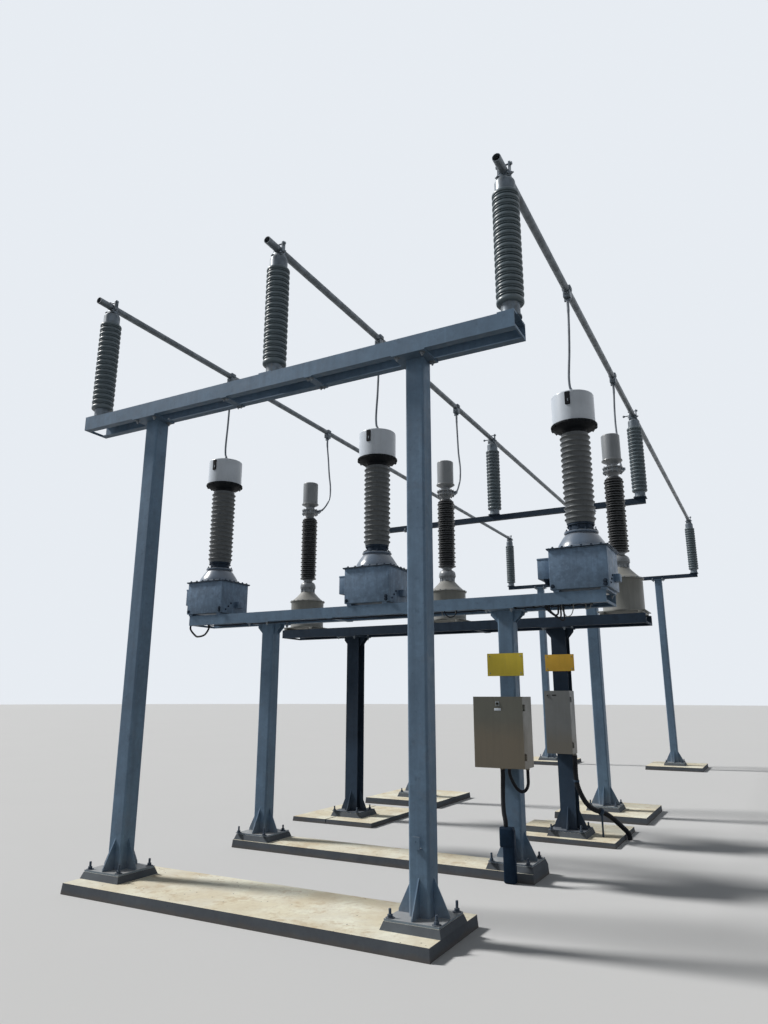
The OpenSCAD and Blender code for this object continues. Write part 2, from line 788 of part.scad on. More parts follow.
module bus_tube(k) {
    front = support_y - bus_overhang;
    bus_length = end_frame_y + support_y + bus_overhang - front;
    color("lightgray") at_phase(k, 0) translate([bus_shift, 0, bus_z]) difference() {
        union() {
            translate([0, front, 0]) rotate([-90, 0, 0]) cylinder(d = bus_d, h = bus_length);
            for (y = [0, middle_frame_y, end_frame_y]) translate([0, y + support_y, 0]) bus_clamp();
            translate([0, middle_frame_y + support_y, 0]) earthing_stud();
            for (y = [vt_dropper_y, cvt_dropper_y]) translate([0, y, 0]) dropper_palm();
        }
        translate([0, front - 1, 0]) rotate([-90, 0, 0])
            cylinder(d = bus_d - 2 * bus_wall, h = bus_length + 2);
    }
}

module droppers(k) {
    bowed = [for (i = [0:len(cvt_dropper_route) - 1])
        cvt_dropper_route[i] - [k * cvt_dropper_bow[i], 0, 0]];
    color("dimgray") {
        at_phase(k, vt_dropper_y) cable(vt_dropper_route, dropper_d, [1, 0, 0]);
        at_phase(k, cvt_dropper_y) cable(bowed, dropper_d, [1, 0, 0]);
    }
}

// An open-fronted sheet box with a flange round its mouth; its back is at y = 0
module box_shell(w, h, d) {
    difference() {
        translate([-w / 2, -d, 0]) cube([w, d, h]);
        translate([sheet_t - w / 2, sheet_t - d, sheet_t])
            cube([w - 2 * sheet_t, d - 2 * sheet_t, h - 2 * sheet_t]);
        translate([rib_w - w / 2, -d - 1, rib_w]) cube([w - 2 * rib_w, sheet_t + 2, h - 2 * rib_w]);
    }
}

// The fixed knuckles and pins on a box's right edge
module box_hinges(w, h, d) {
    for (z = [hinge_inset, h - hinge_inset]) translate([w / 2 + hinge_out, -d - door_gap / 2, z]) {
        cylinder(r = pin_r, h = 2 * knuckle_h + knuckle_h + 2 * knuckle_gap, center = true);
        for (side = [-1, 1]) translate([0, 0, side * (knuckle_h + knuckle_gap)]) {
            cylinder(r = knuckle_r, h = knuckle_h, center = true);
            translate([-hinge_out - 1, door_gap / 2, -knuckle_h / 2]) cube([hinge_out, leaf_t, knuckle_h]);
        }
    }
}

// A tray-shaped door with knuckles on its right edge, closed in front of its box
module box_door(w, h, d, latch_x, latch_z) {
    translate([0, -d - door_gap, 0]) {
        difference() {
            union() {
                translate([-w / 2, -door_t, 0]) cube([w, door_t, h]);
                for (z = [hinge_inset, h - hinge_inset])
                    translate([w / 2 + hinge_out, door_gap / 2, z]) {
                        cylinder(r = knuckle_r, h = knuckle_h, center = true);
                        translate([-hinge_out - 1, -door_gap / 2 - leaf_t, -knuckle_h / 2])
                            cube([hinge_out, leaf_t, knuckle_h]);
                    }
            }
            translate([sheet_t - w / 2, sheet_t - door_t, sheet_t])
                cube([w - 2 * sheet_t, door_t, h - 2 * sheet_t]);
            for (z = [hinge_inset, h - hinge_inset]) translate([w / 2 + hinge_out, door_gap / 2, z])
                cylinder(r = pin_r + pin_clear, h = knuckle_h + 2, center = true);
        }
        translate([latch_x, -door_t, latch_z]) rotate([90, 0, 0]) cylinder(r = latch_r, h = latch_h);
    }
}

module in_box_b() {
    placed() translate([box_b_x, post_b_face, box_b_z]) children();
}

module in_box_c() {
    placed() translate([post_x, post_c_face, box_c_z]) children();
}

module gland(x, y, route_start) {
    translate([x, y, -gland_h]) cylinder(r = route_start, h = gland_h);
}

module cabinet_b() {
    color("tan") in_box_b() {
        box_shell(box_b_w, box_b_h, box_b_d);
        box_hinges(box_b_w, box_b_h, box_b_d);
        gland(cable_b_route[0][0] - box_b_x, cable_b_route[0][1] - post_b_face, gland_r);
        gland(cable_loop_route[0][0] - box_b_x, cable_loop_route[0][1] - post_b_face, gland_r - 6);
        gland(cable_loop_end[0] - box_b_x, cable_loop_end[1] - post_b_face, gland_r - 6);
    }
}

module cabinet_b_door() {
    color("tan") in_box_b() box_door(box_b_w, box_b_h, box_b_d, 0, box_b_h - 70);
}

module cabinet_c() {
    color("silver") in_box_c() {
        box_shell(box_c_w, box_c_h, box_c_d);
        box_hinges(box_c_w, box_c_h, box_c_d);
        gland(hose_route[0][0] - post_x, hose_route[0][1] - post_c_face, gland_r);
    }
}

module cabinet_c_door() {
    color("silver") in_box_c()
        box_door(box_c_w, box_c_h, box_c_d, 45 - box_c_w / 2, box_c_h - 60);
}

module sign_b() {
    color("gold") placed() translate([box_b_x, post_b_face - sign_t / 2, sign_b_z])
        centred_plate(sign_b_w, sign_t, sign_b_h);
}

module sign_c() {
    color("orange") placed() translate([post_x, post_c_face - sign_t / 2, sign_c_z])
        centred_plate(sign_c_w, sign_t, sign_c_h);
}

// A duct that stands on the ground, with a wider socket on its top
module cable_sleeve() {
    color("steelblue") placed() {
        translate([sleeve_x, sleeve_y, 0]) centred_plate(sleeve_w, sleeve_d, sleeve_h - 1);
        translate([socket_x, sleeve_y, sleeve_h - socket_h])
            centred_plate(socket_w, socket_d, socket_h);
    }
}

module cables_b() {
    color("black") placed() {
        cable(cable_b_route, cable_b_d, [1, 0, 0]);
        cable(cable_loop_route, cable_loop_d, [0, 1, 0]);
    }
}

module hose_c() {
    color("black") placed() cable(hose_route, hose_d, [0, 1, 0]);
}

// The peg that holds the hose up, standing on the pad beside the post
module hose_stake() {
    color(galvanised) placed() translate([stake_x, stake_y, pad_c_h]) cylinder(r = stake_r, h = stake_h);
}

plinth_a();
posts_a();
front_beam();  // beam_a
support_insulators(0);  // insulators_a
support_castings(0, support_top);  // insulator_castings_a
plinth_b();
posts_b();
beam_b();
at_phase(LEFT, vt_y) vt_tank();  // vt_left_tank
at_phase(LEFT, vt_y) vt_insulator();  // vt_left_insulator
at_phase(LEFT, vt_y) vt_head();  // vt_left_head
at_phase(MIDDLE, vt_y) vt_tank();  // vt_middle_tank
at_phase(MIDDLE, vt_y) vt_insulator();  // vt_middle_insulator
at_phase(MIDDLE, vt_y) vt_head();  // vt_middle_head
at_phase(RIGHT, vt_y) vt_tank();  // vt_right_tank
at_phase(RIGHT, vt_y) vt_insulator();  // vt_right_insulator
at_phase(RIGHT, vt_y) vt_head();  // vt_right_head
pads_c();
posts_c();
beam_c();
at_phase(LEFT, cvt_y) cvt_tank();  // cvt_left_tank
at_phase(LEFT, cvt_y) cvt_insulator();  // cvt_left_insulator
at_phase(LEFT, cvt_y) cvt_cap();  // cvt_left_cap
at_phase(MIDDLE, cvt_y) cvt_tank();  // cvt_middle_tank
at_phase(MIDDLE, cvt_y) cvt_insulator();  // cvt_middle_insulator
at_phase(MIDDLE, cvt_y) cvt_cap();  // cvt_middle_cap
at_phase(RIGHT, cvt_y) cvt_tank();  // cvt_right_tank
at_phase(RIGHT, cvt_y) cvt_insulator();  // cvt_right_insulator
at_phase(RIGHT, cvt_y) cvt_cap();  // cvt_right_cap
back_pads(middle_frame_y);  // pads_d
back_posts(middle_frame_y);  // posts_d
back_beam(middle_frame_y);  // beam_d
support_insulators(middle_frame_y);  // insulators_d
support_castings(middle_frame_y, square_top);  // insulator_castings_d
back_pads(end_frame_y);  // pads_e
back_posts(end_frame_y);  // posts_e
back_beam(end_frame_y);  // beam_e
support_insulators(end_frame_y);  // insulators_e
support_castings(end_frame_y, square_top);  // insulator_castings_e
bus_tube(LEFT);  // tube_left
bus_tube(MIDDLE);  // tube_middle
bus_tube(RIGHT);  // tube_right
droppers(LEFT);  // droppers_left
droppers(MIDDLE);  // droppers_middle
droppers(RIGHT);  // droppers_right
cabinet_b();
cabinet_b_door();
cabinet_c();
cabinet_c_door();
sign_b();
sign_c();
cable_sleeve();
cables_b();
hose_c();
hose_stake();
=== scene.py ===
import json
import math
import random

import bmesh
import bpy
from bpy.props import FloatProperty, FloatVectorProperty, IntProperty, PointerProperty
from mathutils import Matrix, Vector


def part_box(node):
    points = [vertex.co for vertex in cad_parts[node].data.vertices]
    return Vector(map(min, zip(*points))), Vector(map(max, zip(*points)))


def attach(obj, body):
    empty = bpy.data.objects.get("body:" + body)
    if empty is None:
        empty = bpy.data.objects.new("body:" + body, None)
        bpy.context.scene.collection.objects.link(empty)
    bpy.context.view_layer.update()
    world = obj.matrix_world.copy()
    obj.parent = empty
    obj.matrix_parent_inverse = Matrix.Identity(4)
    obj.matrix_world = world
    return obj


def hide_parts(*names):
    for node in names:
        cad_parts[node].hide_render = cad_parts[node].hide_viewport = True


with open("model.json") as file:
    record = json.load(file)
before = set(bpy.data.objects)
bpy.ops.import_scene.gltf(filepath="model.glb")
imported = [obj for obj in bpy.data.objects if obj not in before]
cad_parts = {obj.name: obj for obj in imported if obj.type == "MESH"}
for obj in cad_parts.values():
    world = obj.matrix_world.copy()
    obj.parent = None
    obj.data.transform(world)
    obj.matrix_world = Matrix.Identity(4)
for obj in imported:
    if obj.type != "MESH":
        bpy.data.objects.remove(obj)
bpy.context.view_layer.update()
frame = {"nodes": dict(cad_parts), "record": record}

bl_info = {
    "name": "Substation switchgear bay",
    "version": (1, 0, 0),
    "blender": (4, 5, 0),
    "location": "View3D > Sidebar > Bay",
    "description": "Finishes and fine pieces of an outdoor busbar bay with voltage transformers",
    "category": "Add Mesh",
}

# Places and sizes read from the frame, in metres


def middle(node):
    low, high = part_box(node)
    return (low + high) / 2


def extent(node):
    low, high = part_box(node)
    return high - low


# The origin lies on the floor between the front posts
ORIGIN = Vector((middle("vt_middle_insulator").x, middle("posts_a").y, 0.0))
SLOT_COLOUR = {row["slot"]: row["base_color"] for row in frame["record"]["materials"]}
NODE_SLOT = {row["node"]: row["material_slot"] for row in frame["record"]["subparts"]}
PHASES = ("left", "middle", "right")
SUPPORTS = ("a", "d", "e")
BASE_PLATE = 0.450
POST_X = (extent("posts_a").x - BASE_PLATE) / 2
PHASE_X = {phase: middle(f"vt_{phase}_insulator").x for phase in PHASES}
BUS_X = {phase: x + middle("insulators_a").x - ORIGIN.x for phase, x in PHASE_X.items()}

# Where the two rows of transformers and their droppers stand along the bay, from the origin
VT_ROW = 2.150
CVT_ROW = 4.797

# Property groups


def length(name, description, default):
    return FloatProperty(name=name, description=description, default=default, unit="LENGTH")


def shed_count(name, default):
    return IntProperty(name=name, description="Wide sheds on one column", default=default, min=8, max=26)


def strength(name, description, default):
    return FloatProperty(name=name, description=description, default=default, min=0.0)


def angle(name, description, degrees):
    return FloatProperty(name=name, description=description, default=math.radians(degrees),
                         subtype="ANGLE")


def swatch(name, description, default):
    return FloatVectorProperty(name=name, description=description, default=default, subtype="COLOR",
                               size=3, min=0.0, max=1.0)


def slot_swatch(slot):
    words = slot.replace("_", " ")
    return swatch(words.capitalize(), f"Base colour of the {words} finish", SLOT_COLOUR[slot])


class BayColours(bpy.types.PropertyGroup):
    """Base colour of each finish, as the record gives it."""
    __annotations__ = {slot: slot_swatch(slot) for slot in SLOT_COLOUR}


class BayPorcelain(bpy.types.PropertyGroup):
    """Shed counts and radii of the three kinds of porcelain."""
    post_sheds: shed_count("Post sheds", 17)
    vt_sheds: shed_count("Wound transformer sheds", 16)
    cvt_sheds: shed_count("Capacitor transformer sheds", 15)
    cvt_rib: length("Capacitor transformer rib", "Radius of its narrow sheds", 0.120)
    post_core: length("Post core", "Radius between the sheds of a post insulator", 0.103)
    vt_core: length("Wound transformer core", "Radius between its sheds", 0.146)
    cvt_core: length("Capacitor transformer core", "Radius between its sheds", 0.098)


class BayHardware(bpy.types.PropertyGroup):
    """Sizes of bolts, studs and wires."""
    anchor_nut: length("Anchor nut", "Width across the flats of an anchor nut", 0.036)
    anchor_height: length("Anchor stud", "Height of an anchor stud over its plate", 0.075)
    frame_bolt: length("Frame bolt", "Width across the flats of the beams' bolts", 0.030)
    small_bolt: length("Small bolt", "Width across the flats of flange bolts", 0.022)
    wire: length("Dropper wire", "Diameter of the bare dropper wire", 0.027)
    loop: length("Wiring loop", "Diameter of the wiring under the beams", 0.014)


class BayStudio(bpy.types.PropertyGroup):
    """Light, floor and backdrop."""
    key: strength("Key", "Strength of the sun lamp", 3.2)
    key_height: angle("Key height", "Angle of the sun lamp over the floor", 42)
    key_side: angle("Key side", "Turn of the sun lamp from straight left", 11)
    softness: angle("Softness", "Size of the sun lamp's disc", 9)
    fill: strength("Fill", "Strength of the light from all round", 0.13)
    floor: swatch("Floor", "Colour of the floor as it is seen", (0.70, 0.71, 0.72))
    bounce: swatch("Bounce", "Colour of the light that the floor sends up", (0.27, 0.265, 0.25))
    backdrop: swatch("Backdrop", "Colour behind the bay", (0.80, 0.84, 0.89))


# Mesh making

X_AXIS = Vector((1, 0, 0))
Y_AXIS = Vector((0, 1, 0))
Z_AXIS = Vector((0, 0, 1))
CORNERS = ((-1, -1), (-1, 1), (1, -1), (1, 1))
# A turned outline's point closer to the axis than this lies on it
ON_AXIS = 1e-6
# Turns a flat outline upright, so that its depth runs along X
UPRIGHT = Matrix(((0, 0, 1, 0), (1, 0, 0, 0), (0, 1, 0, 0), (0, 0, 0, 1)))


def stood(point, axis):
    """A matrix at a point, with its own Z along an axis."""
    return Matrix.Translation(point) @ axis.to_track_quat("Z", "Y").to_matrix().to_4x4()


def smooth_route(points, steps):
    """More points along the smooth curve that passes through a route's own points."""
    route = [Vector(p) for p in points]
    ends = [2 * route[0] - route[1]] + route + [2 * route[-1] - route[-2]]
    made = []
    for a, b, c, d in zip(ends, ends[1:], ends[2:], ends[3:]):
        for k in range(steps):
            t = k / steps
            made.append(0.5 * (2 * b + (c - a) * t + (2 * a - 5 * b + 4 * c - d) * t ** 2
                               + (3 * b - a - 3 * c + d) * t ** 3))
    return made + [route[-1]]


def arc(across, up, wide, high, start, end, steps):
    """Points on a round or oval stretch of an outline, by its middle, its radii and its two angles."""
    turns = [math.radians(start + (end - start) * k / steps) for k in range(steps + 1)]
    return [(across + wide * math.cos(turn), up + high * math.sin(turn)) for turn in turns]


def add_object(name, data):
    made = bpy.data.objects.new(name, data)
    bpy.context.scene.collection.objects.link(made)
    return made


class Shape:
    """Gathers faces into one mesh; every place is measured from the shape's origin."""

    def __init__(self, origin=(0, 0, 0)):
        self.mesh = bmesh.new()
        self.origin = Vector(origin)

    def lathe(self, outline, base=(0, 0, 0), axis=Z_AXIS, sides=48, closed=False):
        """Turns an outline of radius and height points round an axis that starts at a base point."""
        place = stood(self.origin + Vector(base), axis)
        turns = [math.tau * k / sides for k in range(sides)]
        rings = [[self.mesh.verts.new(place @ Vector((radius * math.cos(t), radius * math.sin(t), height)))
                  for t in (turns if radius > ON_AXIS else turns[:1])] for radius, height in outline]
        self.skin(rings + rings[:1] if closed else rings)

    def skin(self, rings):
        """Joins rings of points that follow one another; a ring of one point closes an end."""
        for low, high in zip(rings, rings[1:]):
            count = max(len(low), len(high))
            for k in range(count):
                n = (k + 1) % count
                corners = [low[k % len(low)], low[n % len(low)], high[n % len(high)],
                           high[k % len(high)]]
                once = [c for i, c in enumerate(corners) if c not in corners[:i]]
                if len(once) > 2:
                    self.mesh.faces.new(once)

    def block(self, low, high, bevel, matrix=Matrix(), segments=2):
        """A box between two corners, with rounded edges."""
        low, high = Vector(low), Vector(high)
        placed = (Matrix.Translation(self.origin) @ matrix @ Matrix.Translation((low + high) / 2)
                  @ Matrix.Diagonal((*(high - low), 1)))
        made = bmesh.ops.create_cube(self.mesh, size=1, matrix=placed)
        edges = {edge for vert in made["verts"] for edge in vert.link_edges}
        bmesh.ops.bevel(self.mesh, geom=list(edges), offset=bevel, segments=segments,
                        profile=0.5, affect="EDGES", clamp_overlap=True)

    def slab(self, half_x, half_y, low, high, bevel, centre=(0, 0), segments=2):
        """A rounded box by its half widths, its two levels and its middle."""
        x, y = centre
        self.block((x - half_x, y - half_y, low), (x + half_x, y + half_y, high), bevel, segments=segments)

    def prism(self, outline, depth, matrix):
        """A flat outline pushed along the matrix's own Z."""
        placed = Matrix.Translation(self.origin) @ matrix
        low, high = ([self.mesh.verts.new(placed @ Vector((x, y, z))) for x, y in outline]
                     for z in (0, depth))
        self.mesh.faces.new(low[::-1])
        self.mesh.faces.new(high)
        self.skin([low, high])

    def bolt(self, point, axis, across, thread=0.0):
        """A hexagon on its washer, with a length of thread past it."""
        corner, rim, shank = across / math.sqrt(3), across * 0.95, across * 0.3
        plate = across * 0.13
        top = plate + across * 0.62
        end = top + thread
        self.lathe([(0, 0), (rim, 0), (rim, plate), (0, plate)], point, axis, 20)
        self.lathe([(0, plate), (corner, plate), (corner, top * 0.9), (corner * 0.86, top), (0, top)],
                   point, axis, 6)
        if thread:
            self.lathe([(shank, plate), (shank, end - 0.003), (shank * 0.8, end), (0, end)], point, axis, 12)

    def ring(self, z, radius, count, across, axis=Z_AXIS, thread=0.0, start=0.0):
        """Bolts in a circle round the origin."""
        for turn in (start + math.tau * k / count for k in range(count)):
            self.bolt((radius * math.cos(turn), radius * math.sin(turn), z), axis, across, thread)

    def square(self, half_x, half_y, z, axis, across, thread=0.0):
        """Four bolts at the corners of a rectangle round the origin."""
        for side_x, side_y in CORNERS:
            self.bolt((side_x * half_x, side_y * half_y, z), axis, across, thread)

    def pipe(self, route, radius, sides):
        """A closed tube along a route; radius is a number, or a function of the share run."""
        size = radius if callable(radius) else lambda share: radius
        route = [self.origin + point for point in route]
        last = len(route) - 1
        across = None
        rings = []
        for i, point in enumerate(route):
            ahead = (route[min(i + 1, last)] - route[max(i - 1, 0)]).normalized()
            across = across or ahead.orthogonal().normalized()
            across = (across - ahead * across.dot(ahead)).normalized()
            up = ahead.cross(across)
            r = size(i / last)
            rings.append([self.mesh.verts.new(point + r * (math.cos(t) * across + math.sin(t) * up))
                          for t in (math.tau * k / sides for k in range(sides))])
        self.skin([[self.mesh.verts.new(route[0])]] + rings + [[self.mesh.verts.new(route[-1])]])

    def build(self, name, material):
        """Makes the object, with one material."""
        mesh = bpy.data.meshes.new(name)
        self.mesh.to_mesh(mesh)
        self.mesh.free()
        mesh.materials.append(material)
        return add_object(name, mesh)

    def piece(self, name, slot, body="root", sharp=38.0, stands_for=(), finish=None):
        """Makes a piece with its slot's finish or one of its own, and lets it ride on its body."""
        made = self.build(name, FINISHES[finish or slot])
        made.data.shade_smooth()
        made.data.set_sharp_from_angle(angle=math.radians(sharp))
        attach(made, body)
        if stands_for:
            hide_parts(*stands_for)


# Shader node helpers


class Tree:
    """Short ways to lay out a node tree."""

    def __init__(self, tree):
        self.tree = tree

    def add(self, kind, inputs=None, **settings):
        """Adds a node; an input given as a socket is linked, and any other value is set."""
        made = self.tree.nodes.new(kind)
        for key, value in settings.items():
            setattr(made, key, value)
        for key, value in (inputs or {}).items():
            self.feed(made.inputs[key], value)
        return made

    def feed(self, socket, value):
        if isinstance(value, bpy.types.NodeSocket):
            self.tree.links.new(value, socket)
        elif socket.type == "RGBA":
            socket.default_value = (*value[:3], 1.0)
        else:
            socket.default_value = value

    def maths(self, operation, a, b):
        return self.add("ShaderNodeMath", {0: a, 1: b}, operation=operation).outputs[0]

    def weigh(self, a, share_a, b, share_b):
        """The sum of two values, each times its share."""
        return self.maths("ADD", self.maths("MULTIPLY", a, share_a), self.maths("MULTIPLY", b, share_b))

    def mix(self, factor, a, b):
        return self.add("ShaderNodeMix", {0: factor, 6: a, 7: b}, data_type="RGBA").outputs[2]

    def remap(self, value, low, high, to_low=0.0, to_high=1.0):
        return self.add("ShaderNodeMapRange", {0: value, 1: low, 2: high, 3: to_low, 4: to_high},
                        interpolation_type="SMOOTHSTEP").outputs[0]

    def cover(self, value, given):
        """A mask that covers a share of the surface, with a soft edge."""
        edge = self.maths("SUBTRACT", 1.0, given["Cover"])
        return self.remap(value, self.maths("SUBTRACT", edge, given["Softness"]),
                          self.maths("ADD", edge, given["Softness"]))

    def place(self, stretch=(1, 1, 1)):
        """The object's own coordinates, which are the frame's metres, stretched."""
        own = self.add("ShaderNodeTexCoord").outputs["Object"]
        return self.add("ShaderNodeMapping", {"Vector": own, "Scale": stretch}).outputs[0]

    def noise(self, vector, scale, detail=3.0, rough=0.55):
        return self.add("ShaderNodeTexNoise", {"Vector": vector, "Scale": scale, "Detail": detail,
                                               "Roughness": rough}).outputs[0]

    def first_of(self, colour):
        """The first channel of a colour."""
        return self.add("ShaderNodeSeparateColor", {"Color": colour}).outputs[0]

    def effect(self, name, *values):
        """Places a shared node group, with values for its inputs in their order, and gives its outputs."""
        made = self.add("ShaderNodeGroup", node_tree=bpy.data.node_groups[name])
        for socket, value in zip(made.inputs, values):
            self.feed(socket, value)
        return made.outputs


def new_effect(name, inputs, outputs):
    """A shared node group with number inputs; gives its tree, its inputs and its output node."""
    group = bpy.data.node_groups.new(name, "ShaderNodeTree")
    for label, default in inputs.items():
        socket = group.interface.new_socket(label, in_out="INPUT", socket_type="NodeSocketFloat")
        socket.default_value = default
    for label in outputs:
        group.interface.new_socket(label, in_out="OUTPUT", socket_type="NodeSocketFloat")
    tree = Tree(group)
    given = tree.add("NodeGroupInput").outputs
    return tree, given, tree.add("NodeGroupOutput").inputs


def make_spangle():
    """Zinc crystals: a tone for each crystal and a height for its edges."""
    tree, given, out = new_effect("Spangle", {"Scale": 60.0}, ("Tone", "Height"))
    place = tree.place()
    fine = tree.add("ShaderNodeTexVoronoi", {"Vector": place, "Scale": given["Scale"]}).outputs
    broad = tree.add("ShaderNodeTexVoronoi", {
        "Vector": place, "Scale": tree.maths("MULTIPLY", given["Scale"], 0.31)}).outputs
    tones = [tree.first_of(cells["Color"]) for cells in (fine, broad)]
    tree.feed(out["Tone"], tree.weigh(tones[0], 0.6, tones[1], 0.4))
    tree.feed(out["Height"], fine["Distance"])


def make_runs():
    """Streaks that water has drawn down upright faces."""
    tree, given, out = new_effect("Runs", {"Scale": 24.0, "Cover": 0.45, "Softness": 0.12}, ("Mask",))
    narrow = tree.noise(tree.place((1, 1, 0.05)), given["Scale"], 4.0, 0.62)
    broken = tree.noise(tree.place((1, 1, 0.4)), 3.0, 2.0)
    tree.feed(out["Mask"], tree.cover(tree.weigh(narrow, 0.75, broken, 0.25), given))


def make_patches():
    """Ragged patches, for stains, dirt and worn places."""
    tree, given, out = new_effect("Patches", {"Scale": 4.0, "Cover": 0.5, "Softness": 0.08}, ("Mask",))
    tree.feed(out["Mask"], tree.cover(tree.noise(tree.place(), given["Scale"], 6.0, 0.62), given))


def make_specks():
    """Scattered dots, for pits, chips and lichen."""
    tree, given, out = new_effect("Specks", {"Scale": 40.0, "Size": 0.25, "Share": 0.3}, ("Mask",))
    cells = tree.add("ShaderNodeTexVoronoi", {"Vector": tree.place(), "Scale": given["Scale"]}).outputs
    picked = tree.maths("LESS_THAN", tree.first_of(cells["Color"]), given["Share"])
    dot = tree.remap(cells["Distance"], given["Size"], tree.maths("MULTIPLY", given["Size"], 0.5))
    tree.feed(out["Mask"], tree.maths("MULTIPLY", dot, picked))


def make_band():
    """A mask that is full below a level and fades out, with a ragged edge, above it."""
    tree, given, out = new_effect("Band", {"Level": 0.0, "Reach": 0.3, "Ragged": 0.5}, ("Mask",))
    own = tree.add("ShaderNodeSeparateXYZ", {0: tree.place()}).outputs["Z"]
    sway = tree.maths("MULTIPLY", tree.maths("SUBTRACT", tree.noise(tree.place(), 7.0), 0.5),
                      tree.maths("MULTIPLY", given["Ragged"], given["Reach"]))
    height = tree.maths("ADD", own, sway)
    tree.feed(out["Mask"], tree.remap(height, tree.maths("ADD", given["Level"], given["Reach"]),
                                      given["Level"]))


def make_facing():
    """How far a face looks up or down."""
    tree, given, out = new_effect("Facing", {"Softness": 0.4}, ("Up", "Down"))
    normal = tree.add("ShaderNodeNewGeometry").outputs["Normal"]
    height = tree.add("ShaderNodeSeparateXYZ", {0: normal}).outputs["Z"]
    start = tree.maths("SUBTRACT", 0.9, given["Softness"])
    for name, value in (("Up", height), ("Down", tree.maths("MULTIPLY", height, -1.0))):
        tree.feed(out[name], tree.remap(value, start, 0.9))


def make_grain():
    """A fine uneven height, for cast, rolled and moulded surfaces."""
    tree, given, out = new_effect("Grain", {"Scale": 200.0, "Broad": 12.0}, ("Height",))
    fine = tree.noise(tree.place(), given["Scale"], 3.0)
    broad = tree.noise(tree.place(), given["Broad"], 2.0)
    tree.feed(out["Height"], tree.weigh(fine, 0.3, broad, 0.7))


EFFECTS = (make_spangle, make_runs, make_patches, make_specks, make_band, make_facing, make_grain)

# Finishes

FINISHES = {}
DUST = (0.50, 0.47, 0.42)
RUST = (0.26, 0.12, 0.05)
SOIL = (0.16, 0.13, 0.10)
# Painted shade in two dark blue-grey tones, laid on the sides of concrete
SIDE_SHADE = ((0.078, 0.102, 0.138), (0.050, 0.068, 0.098))


class Finish(Tree):
    """A material with one Principled shader, built up from its base colour."""

    def __init__(self, name, colour, rough=0.5, metal=0.0, coat=0.0, gleam=0.5):
        self.material = FINISHES[name] = bpy.data.materials.new(f"{name}_finish")
        self.material.use_nodes = True
        super().__init__(self.material.node_tree)
        self.shader = self.tree.nodes["Principled BSDF"].inputs
        self.colour = self.painted = tuple(colour)
        for label, value in (("Roughness", rough), ("Metallic", metal), ("Coat Weight", coat),
                             ("Coat Roughness", 0.22), ("Specular IOR Level", gleam)):
            self.shader[label].default_value = value

    def tint(self, factor):
        """The base colour made lighter or darker."""
        return tuple(min(1.0, c * factor) for c in self.colour)

    def cloudy(self, values, light, dark):
        """Starts with two tints in soft clouds, and gives the clouds' mask."""
        cloud = self.effect("Patches", *values)[0]
        self.painted = self.mix(cloud, self.tint(light), self.tint(dark))
        return cloud

    def over(self, mask, colour, strength):
        """Lays a colour over what is there, where the mask says; one number is a tint."""
        shade = colour if isinstance(colour, (tuple, bpy.types.NodeSocket)) else self.tint(colour)
        self.painted = self.mix(self.maths("MULTIPLY", mask, strength), self.painted, shade)

    def layers(self, *rows):
        """Lays colours where effects say; a row has an effect, its values, the colour and its strength."""
        for effect, values, colour, strength in rows:
            self.over(self.effect(effect, *values)[0], colour, strength)

    def roughen(self, value, low, high):
        self.feed(self.shader["Roughness"], self.remap(value, 0.0, 1.0, low, high))

    def bump(self, height, depth, strength):
        self.feed(self.shader["Normal"], self.add("ShaderNodeBump", {
            "Height": height, "Distance": depth, "Strength": strength}).outputs[0])

    def done(self):
        self.feed(self.shader["Base Color"], self.painted)
        return self.material


# In a row of layers, the values of Patches and Runs are their scale, cover and softness, those of Specks
# their scale, size and share, those of Band its level, reach and raggedness, and that of Facing its softness


# In zinc, under sets the strength of the painted shade on faces that look down
def zinc(name, colour, scale, contrast, streak, brown, metal, rough, under=0.62, dust=0.5, fine=34.0,
         gleam=0.5, foot=0.0, mottle=0.2):
    """Hot-dipped steel: crystals, pale and dark streaks, brownish stains, dust on top, painted shade on
    faces that look down.
    """
    made = Finish(name, colour, metal=metal, gleam=gleam)
    crystals = made.effect("Spangle", scale)
    made.painted = made.mix(crystals["Tone"], made.tint(1 - contrast), made.tint(1 + contrast))
    made.layers(("Patches", (2.3, 0.5, 0.2), 0.68, 0.55), ("Patches", (0.9, 0.45, 0.2), 1.35, 0.45),
                ("Runs", (fine, 0.42, 0.1), 1.75, streak), ("Runs", (0.5 * fine, 0.42, 0.1), 0.55, 0.45),
                ("Patches", (11.0, 0.36, 0.06), 0.45, 0.35),
                ("Patches", (5.0, 0.38, 0.08), (0.17, 0.13, 0.10), brown),
                ("Specks", (30.0, 0.16, 0.08), 0.35, 0.6), ("Band", (0.95, 0.25, 0.6), 2.1, foot),
                ("Patches", (8.0, 0.5, 0.14), 0.55, mottle),
                ("Patches", (17.0, 0.4, 0.1), 1.6, 0.6 * mottle))
    looks = made.effect("Facing", 0.3)
    # Painted shade on faces that look down
    made.over(looks["Down"], 0.30, under)
    made.over(looks["Up"], DUST, dust)
    made.layers(("Band", (0.12, 0.25, 0.8), DUST, 0.5 * dust))
    made.roughen(crystals["Tone"], rough - 0.09, rough + 0.12)
    made.bump(crystals["Height"], 0.0006, 0.35)
    made.done()


